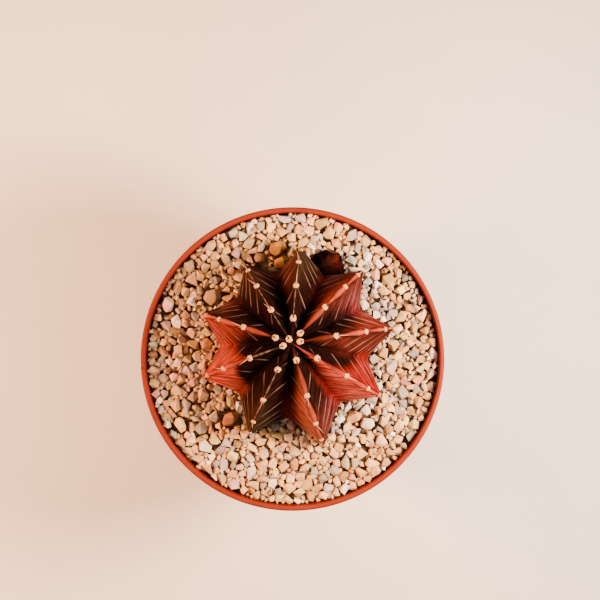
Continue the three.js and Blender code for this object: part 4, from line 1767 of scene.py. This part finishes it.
@dataclass
class TopDressing:
    """Loose stone chips, dropped one at a time on a bed of fines until they stand level under the rim."""

    pot: Pot
    form: Form
    offset: Offset
    single_stones: Sequence[str]
    bed: float = 66.9 * MM
    base: float = 60.3 * MM
    level: float = 70.5 * MM
    pitch: float = 0.3 * MM
    choices: int = 14
    at_wall: float = 0.2  # how many of the places that are tried lie along the wall
    middling: Triple = (1.48 * MM, 1.18 * MM, 0.90 * MM)  # half sizes
    rounds: tuple[tuple[float, float, float, int], ...] = (
        (0.95, 1.35, 0.0, 220),
        (0.7, 0.95, 0.25 * MM, 220),
        (0.42, 0.68, 0.6 * MM, 320),
    )  # smallest and largest share of a middling chip, how far they stay under the level, and patience
    proportions: tuple[float, float] = (0.8, 1.2)  # between which each half size strays
    tilt: float = 0.3  # in radians
    tones: tuple[float, float] = (0.55, 1.12)  # how bright the darkest and the brightest chip is
    tinge: float = 0.05
    sink: float = 0.3 * MM  # how far a chip settles between the others
    apart: float = 0.12 * MM
    off_wall: tuple[float, float] = (1.1, 1.5)  # how far from the wall a chip lies along it, in half widths
    wall_gap: float = 0.35 * MM
    plant_gap: tuple[float, float] = (0.25 * MM, 0.1 * MM)  # beside the plant and under it
    plant_levels: int = 40
    offset_gap: float = 0.3 * MM
    stone_spread: float = 1.2  # how much more room a single stone takes than its own ellipse
    grey_away: tuple[float, float] = (33 * MM, 27 * MM)  # between which grey and white chips gain
    grey_side: tuple[float, float] = (4 * MM, 12 * MM)  # the same, along +X
    grey_gain: float = 0.93
    corners: tuple[int, int] = (7, 11)  # the fewest, and one more than the most, that a chip is made from
    shake: float = 0.5  # how far its corners stray
    stray: tuple[float, float] = (-0.5, 0.3)  # the shares of that by which they stray in and out
    blocky: float = 3.4  # 2 for an ellipsoid, and more for a squarer chip
    oversize: float = 1.14
    flat: float = 12  # in degrees: faces that turn by less are merged
    bevel: float = 0.05 * MM
    hollows: tuple[tuple[float, float, float, float], ...] = (
        (-8.4 * MM, 24.6 * MM, 3.0 * MM, 3.2 * MM),
        (9.6 * MM, 26.0 * MM, 5.0 * MM, 1.8 * MM),
    )  # x, y, radius and depth
    hollow_edge: tuple[float, float] = (1.5, 0.6)
    # The fines are dark all over: painted shade for the gaps between the chips.
    fines: StoneFinish = StoneFinish("grit_fines", (0.24, 0.13, 0.07), (0.12, 0.06, 0.03), flecked=0.5)
    fines_gap: float = 0.3 * MM
    fines_rings: int = 24
    fines_steps: int = 96
    fines_skin: float = 0.1 * MM  # points this close to their top are roughened
    fines_relief: float = 0.7 * MM
    fines_size: float = 1.1 * MM
    # Painted shade: how dark the fines are made, for the gaps between the chips.
    fines_painted_shade: float = 0.55
    fines_sharp_over: float = 30  # in degrees
    seed: int = 20
    chips: list[Chip] = field(default_factory=list)

    def grid(self) -> tuple[np.ndarray, np.ndarray]:
        """The x and y of every cell of the height map."""
        reach = self.pot.rim_radius
        line = np.arange(-reach, reach + self.pitch, self.pitch)
        return np.meshgrid(line, line)

    def room(self) -> tuple[np.ndarray, np.ndarray]:
        """The height that is already taken at every cell, and the height that the plant leaves free."""
        x, y = self.grid()
        taken = np.full(x.shape, self.bed)
        taken[np.hypot(x, y) > self.pot.inside(self.level) - self.wall_gap] = np.inf
        free = np.full(x.shape, np.inf)
        dx, dy = x - self.form.centre[0], y - self.form.centre[1]
        bearing, away = np.arctan2(dy, dx), np.hypot(dx, dy)
        beside, below = self.plant_gap
        for angle in np.linspace(math.pi / 2, math.pi, self.plant_levels):
            under = away < self.form.outline(bearing, float(angle)) + beside
            free[under] = float(self.form.level(np.array(angle))) - below
        for name in self.single_stones:
            low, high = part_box(name)
            middle, half = (low + high) / 2, (high - low) / 2
            share = ((x - middle.x) / half.x) ** 2 + ((y - middle.y) / half.y) ** 2
            taken = np.where(share < self.stone_spread, np.maximum(taken, high.z), taken)
        centre = self.offset.centre
        taken[np.hypot(x - centre.x, y - centre.y) < self.offset.radius + self.offset_gap] = np.inf
        return taken, free

    def limit(self, x: float, y: float) -> float:
        """Works out how high the chips may stand: level, but for the hollows.

        Args:
            x: the place along +X.
            y: the place along +Y.

        Returns:
            The height.
        """
        dips = [
            depth * float(smoothstep(*self.hollow_edge, math.hypot(x - hx, y - hy) / reach))
            for hx, hy, reach, depth in self.hollows
        ]
        return self.level - max(dips)

    def drop(self) -> None:
        """Drops the chips, the large ones first. Each rests in the lowest of a few places."""
        draw = np.random.default_rng(self.seed)
        room = self.room()
        for smallest, largest, under, patience in self.rounds:
            missed = 0
            while missed < patience:
                found = self.drop_one(draw.uniform(smallest, largest), under, *room, draw)
                missed = 0 if found else missed + 1
            log.info("%d chips", len(self.chips))

    def drop_one(
        self, size: float, under: float, taken: np.ndarray, free: np.ndarray, draw: np.random.Generator
    ) -> bool:
        """Drops one chip, if there is room for it.

        Args:
            size: how large it is, as a share of a middling chip.
            under: how far it stays under the level of the others.
            taken: the height that is already taken at every cell, which the chip is added to.
            free: the height that the plant leaves free at every cell.
            draw: the seeded draw that shapes and places it.

        Returns:
            Whether it found a place.
        """
        half = np.array(self.middling) * size * draw.uniform(*self.proportions, 3)
        turn, tilt = draw.uniform(0, math.pi), tuple(draw.normal(0, self.tilt, 2))
        tone = draw.uniform(*self.tones) * (1 + draw.normal(0, self.tinge, 3))
        reach = int(half[0] / self.pitch) + 1
        steps = np.arange(-reach, reach + 1) * self.pitch
        dx, dy = np.meshgrid(steps, steps)
        u = (dx * math.cos(turn) + dy * math.sin(turn)) / half[0]
        v = (dy * math.cos(turn) - dx * math.sin(turn)) / half[1]
        inside = u * u + v * v < 1
        dome = half[2] * np.sqrt(np.clip(1 - u * u - v * v, 0, 1)) + self.apart
        best = None
        for _ in range(self.choices):
            out = self.pot.inside(self.level) * math.sqrt(draw.uniform(0, 1))
            if draw.uniform() < self.at_wall:
                out = self.pot.inside(self.level) - half[1] * draw.uniform(*self.off_wall)
            way = draw.uniform(0, 2 * math.pi)
            x, y = out * math.cos(way), out * math.sin(way)
            col, row = (int(round((c + self.pot.rim_radius) / self.pitch)) for c in (x, y))
            window = (slice(row - reach, row + reach + 1), slice(col - reach, col + reach + 1))
            if taken[window].shape != dome.shape:
                continue
            rest = (taken[window] + dome)[inside].max() - self.sink
            if rest + half[2] > self.limit(x, y) - under or (rest + dome > free[window])[inside].any():
                continue
            if best is None or rest < best[0]:
                best = (rest, x, y, window)
        if best is None:
            return False
        rest, x, y, window = best
        taken[window] = np.where(inside, np.maximum(taken[window], rest + dome), taken[window])
        self.chips.append(Chip(half, turn, tilt, Vector((x, y, rest)), self.kind_at(x, y, draw), tone))
        return True

    def kind_at(self, x: float, y: float, draw: np.random.Generator) -> StoneKind:
        """Draws a kind of stone. Close to the plant on its +X side more of them are grey or white.

        Args:
            x: the chip's place along +X.
            y: its place along +Y.
            draw: the seeded draw that chooses.

        Returns:
            The kind.
        """
        dx, dy = x - self.form.centre[0], y - self.form.centre[1]
        near = smoothstep(*self.grey_away, math.hypot(dx, dy)) * smoothstep(*self.grey_side, dx)
        kinds, gaining = list(StoneKind), (StoneKind.GREY, StoneKind.WHITE)
        left = 1 - self.grey_gain * near
        shares = np.array([kind.share * (1 if kind in gaining else left) for kind in kinds])
        return kinds[draw.choice(len(kinds), p=shares / shares.sum())]

    def broken(self, half: np.ndarray, draw: np.random.Generator) -> bmesh.types.BMesh:
        """Breaks one angular chip: the hull of shaken corners, with its edges rubbed off.

        Args:
            half: its half sizes.
            draw: the seeded draw that shapes it.

        Returns:
            The chip, centred on the origin.
        """
        bm = bmesh.new()
        corners = int(draw.integers(*self.corners))
        golden = math.pi * (3 - math.sqrt(5))
        for i in range(corners):
            level = 1 - 2 * (i + 0.5) / corners
            ring = math.sqrt(1 - level * level)
            turn = golden * i + self.shake * draw.uniform(-1, 1)
            corner = np.array([math.cos(turn) * ring, math.sin(turn) * ring, level])
            corner /= np.sum(np.abs(corner) ** self.blocky) ** (1 / self.blocky)
            bm.verts.new(Vector(corner * half * (1 + self.shake * draw.uniform(*self.stray))))
        made = bmesh.ops.convex_hull(bm, input=bm.verts)
        spare = [item for item in made["geom_interior"] if isinstance(item, bmesh.types.BMVert)]
        bmesh.ops.delete(bm, geom=spare, context="VERTS")
        rub_off(bm, self.flat, self.bevel, 1)
        return bm

    def build(self) -> None:
        """Drops, models and dresses the chips, one piece for each kind of stone, and their bed."""
        self.drop()
        draw = np.random.default_rng(self.seed + 1)
        for kind in StoneKind:
            heap = Heap()
            for chip in (chip for chip in self.chips if chip.kind is kind):
                bm = self.broken(chip.half * self.oversize, draw)
                turn = Euler((*chip.tilt, chip.turn)).to_matrix().to_4x4()
                bmesh.ops.transform(bm, matrix=Matrix.Translation(chip.at) @ turn, verts=bm.verts)
                heap.add(bm, [chip.tone] * len(bm.verts))
            mesh = heap.mesh(f"{kind.name.lower()}_chips", "stone_tone")
            as_piece(mesh, mesh.name, kind.finish.material(), ["gravel"])
        self.build_bed()

    def build_bed(self) -> None:
        """Models and dresses the bed of fines that the chips lie on, darkened as painted shade for the gaps
        between them.
        """
        step = self.pot.inner_step[1]
        heights = (self.base, step, self.bed)
        wall, middle, top = (self.pot.inside(height) - self.fines_gap for height in heights)
        rings = [Vector((top * (1 - i / self.fines_rings), 0, self.bed)) for i in range(self.fines_rings)]
        sides = [Vector((0, 0, self.base)), Vector((wall, 0, self.base)), Vector((middle, 0, step))]
        bm = turned([*sides, *rings, Vector((0, 0, self.bed))], self.fines_steps)
        for vert in bm.verts:
            if vert.co.z > self.bed - self.fines_skin:
                vert.co.z += self.fines_relief * noise.noise(vert.co / self.fines_size)
        mesh = mesh_of(bm, "grit_bed", self.fines_sharp_over)
        # Painted shade: the fines are darkened all over.
        keep_values(mesh, "stone_tone", np.full((len(mesh.vertices), 3), self.fines_painted_shade))
        as_piece(mesh, "grit_bed", self.fines.material(), ["gravel"])


@dataclass
class SingleStone:
    """A stone whose colour stands out among the chips, worked up from its plain solid.

    Attributes:
        node: the plain solid.
        slot: a slot name, which is not used.
        finish: its finish.
        weld: points of the solid closer than this become one.
        flat: the turn, in degrees, under which its faces are merged.
        bevel: the width of its rubbed edges.
        cuts: how finely its faces are divided.
        rough: how deep its dents are.
        dents: how large its coarse and its fine dents are.
        sharp_over: edges that turn by more than this many degrees stay sharp.
    """

    node: str
    slot: str
    finish: StoneFinish
    weld: float = 0.005 * MM
    flat: float = 14
    bevel: float = 0.14 * MM
    cuts: int = 2
    rough: float = 0.04 * MM
    dents: tuple[float, float] = (0.9 * MM, 0.4 * MM)
    sharp_over: float = 50

    def build(self) -> bpy.types.Object:
        """Rubs off the plain solid's edges, roughens it and dresses it."""
        bm = bmesh.new()
        bm.from_mesh(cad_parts[self.node].data)
        bmesh.ops.remove_doubles(bm, verts=bm.verts, dist=self.weld)
        rub_off(bm, self.flat, self.bevel, 2)
        bmesh.ops.triangulate(bm, faces=bm.faces)
        bmesh.ops.subdivide_edges(bm, edges=bm.edges, cuts=self.cuts, use_grid_fill=True)
        low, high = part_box(self.node)
        middle = (low + high) / 2
        coarse, fine = self.dents
        for vert in bm.verts:
            dent = noise.noise(vert.co / coarse) + 0.5 * noise.noise(vert.co / fine)
            vert.co += (middle - vert.co).normalized() * self.rough * (1 + dent)
        mesh = mesh_of(bm, f"{self.node}_worn", self.sharp_over)
        keep_values(mesh, "stone_tone", np.ones((len(mesh.vertices), 3)))
        return as_piece(mesh, mesh.name, self.finish.material(), [self.node])


DEEP_OCHRE = (0.24, 0.10, 0.018)
SINGLE_STONES = (
    SingleStone("ochre_stone_large", "ochre_stone",
        StoneFinish("ochre_stone", (0.44, 0.22, 0.036), DEEP_OCHRE)),
    SingleStone("ochre_stone_small", "ochre_stone",
        StoneFinish("ochre_small", (0.42, 0.20, 0.034), DEEP_OCHRE)),
    SingleStone("tan_pebble", "tan_stone",
        StoneFinish("tan_pebble", (0.30, 0.17, 0.085), (0.21, 0.11, 0.055))),
    SingleStone("tan_slab", "tan_stone",
        StoneFinish("tan_slab", (0.42, 0.26, 0.12), (0.32, 0.19, 0.09))),
    SingleStone("brown_stone", "brown_stone",
        StoneFinish("brown_stone", (0.33, 0.13, 0.045), (0.22, 0.08, 0.03))),
    SingleStone("pink_pebble", "pink_stone",
        StoneFinish("pink_pebble", (0.80, 0.46, 0.36), (0.72, 0.40, 0.31))),
    SingleStone("yellow_stone", "yellow_stone",
        StoneFinish("yellow_stone", (0.78, 0.55, 0.16), (0.66, 0.44, 0.16))),
    SingleStone("pale_pebble", "pale_stone",
        StoneFinish("pale_pebble", (0.80, 0.62, 0.44), (0.72, 0.54, 0.37))),
)


# ---------------------------------------------------------------- floor, light and camera


@dataclass(frozen=True)
class Lamp:
    """One soft square lamp that looks at the plant.

    Attributes:
        name: its name.
        bearing: where it hangs, in degrees anticlockwise from +X.
        height: how steeply it looks down, in degrees.
        away: how far it is from the plant.
        watts: its power.
        colour: its colour.
        aim: the height that it looks at.
    """

    name: str
    bearing: float
    height: float
    away: float
    watts: float
    colour: Colour
    aim: float = 70 * MM

    def hang(self) -> None:
        """Puts the lamp in the scene. Its side is a third of its distance."""
        data = bpy.data.lights.new(self.name, "AREA")
        data.size = self.away / 3
        data.energy = self.watts
        data.color = self.colour
        lamp = into_scene(self.name, data)
        lamp.visible_camera = False
        height = math.radians(self.height)
        out = toward(self.bearing) * math.cos(height) + Vector((0, 0, math.sin(height)))
        lamp.location = Vector((0, 0, self.aim)) + self.away * out
        lamp.rotation_euler = out.to_track_quat("Z", "Y").to_euler()


@dataclass
class Studio:
    """A plain pale floor, soft light from both sides and a camera that looks straight down."""

    camera_at: Triple = (2.1 * MM, 16.5 * MM, 507 * MM)
    lens: float = 93.5  # on the usual sensor, 36 mm wide
    nearest: float = 10 * MM  # the closest thing that the camera sees
    floor_size: float = 3.0
    floor_cells: int = 8
    air: Colour = (1.0, 0.82, 0.70)
    air_strength: float = 0.60
    lamps: tuple[Lamp, ...] = (
        Lamp("lamp_left", 176, 29, 0.35, 4.6, (1.0, 0.46, 0.19)),
        Lamp("lamp_right", 3, 43, 0.19, 2.15, (1.0, 0.71, 0.49)),
    )

    def build(self) -> None:
        """Sets up the floor, the lights and the camera."""
        bm = bmesh.new()
        cells = self.floor_cells
        bmesh.ops.create_grid(bm, x_segments=cells, y_segments=cells, size=self.floor_size / 2)
        mesh = mesh_of(bm, "studio_floor")
        mesh.materials.append(FloorFinish().material())
        floor = into_scene("studio_floor", mesh)
        for lamp in self.lamps:
            lamp.hang()
        world = bpy.data.worlds.new("studio_air")
        world.use_nodes = True
        air = world.node_tree.nodes["Background"]
        air.inputs["Color"].default_value = (*self.air, 1)
        air.inputs["Strength"].default_value = self.air_strength
        bpy.context.scene.world = world
        data = bpy.data.cameras.new("camera")
        data.lens = self.lens
        data.clip_start = self.nearest
        camera = into_scene("camera", data)
        camera.location = self.camera_at
        bpy.context.scene.camera = camera


def dress_soil(finish: SoilFinish) -> None:
    """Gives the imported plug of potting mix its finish."""
    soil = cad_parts["soil"].data
    soil.materials.clear()
    soil.materials.append(finish.material())
    log.info("soil: %d faces", len(soil.polygons))


def main() -> None:
    """Builds every piece in order; each piece logs how many faces it has."""
    logging.basicConfig(level=logging.INFO, format="%(name)s: %(message)s")
    pot, form = Pot(), Form()
    pot.build(PlasticFinish())
    dress_soil(SoilFinish())
    Body(form).build(SkinFinish())
    pads = areoles(form)
    Wool(pads).build(WoolFinish())
    Spines(pads).build(SpineFinish())
    offset = Offset(form)
    offset.build(SkinFinish("offset_skin"))
    for stone in SINGLE_STONES:
        stone.build()
    TopDressing(pot, form, offset, [stone.node for stone in SINGLE_STONES]).build()
    Studio().build()
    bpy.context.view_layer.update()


if __name__ == "__main__":
    main()
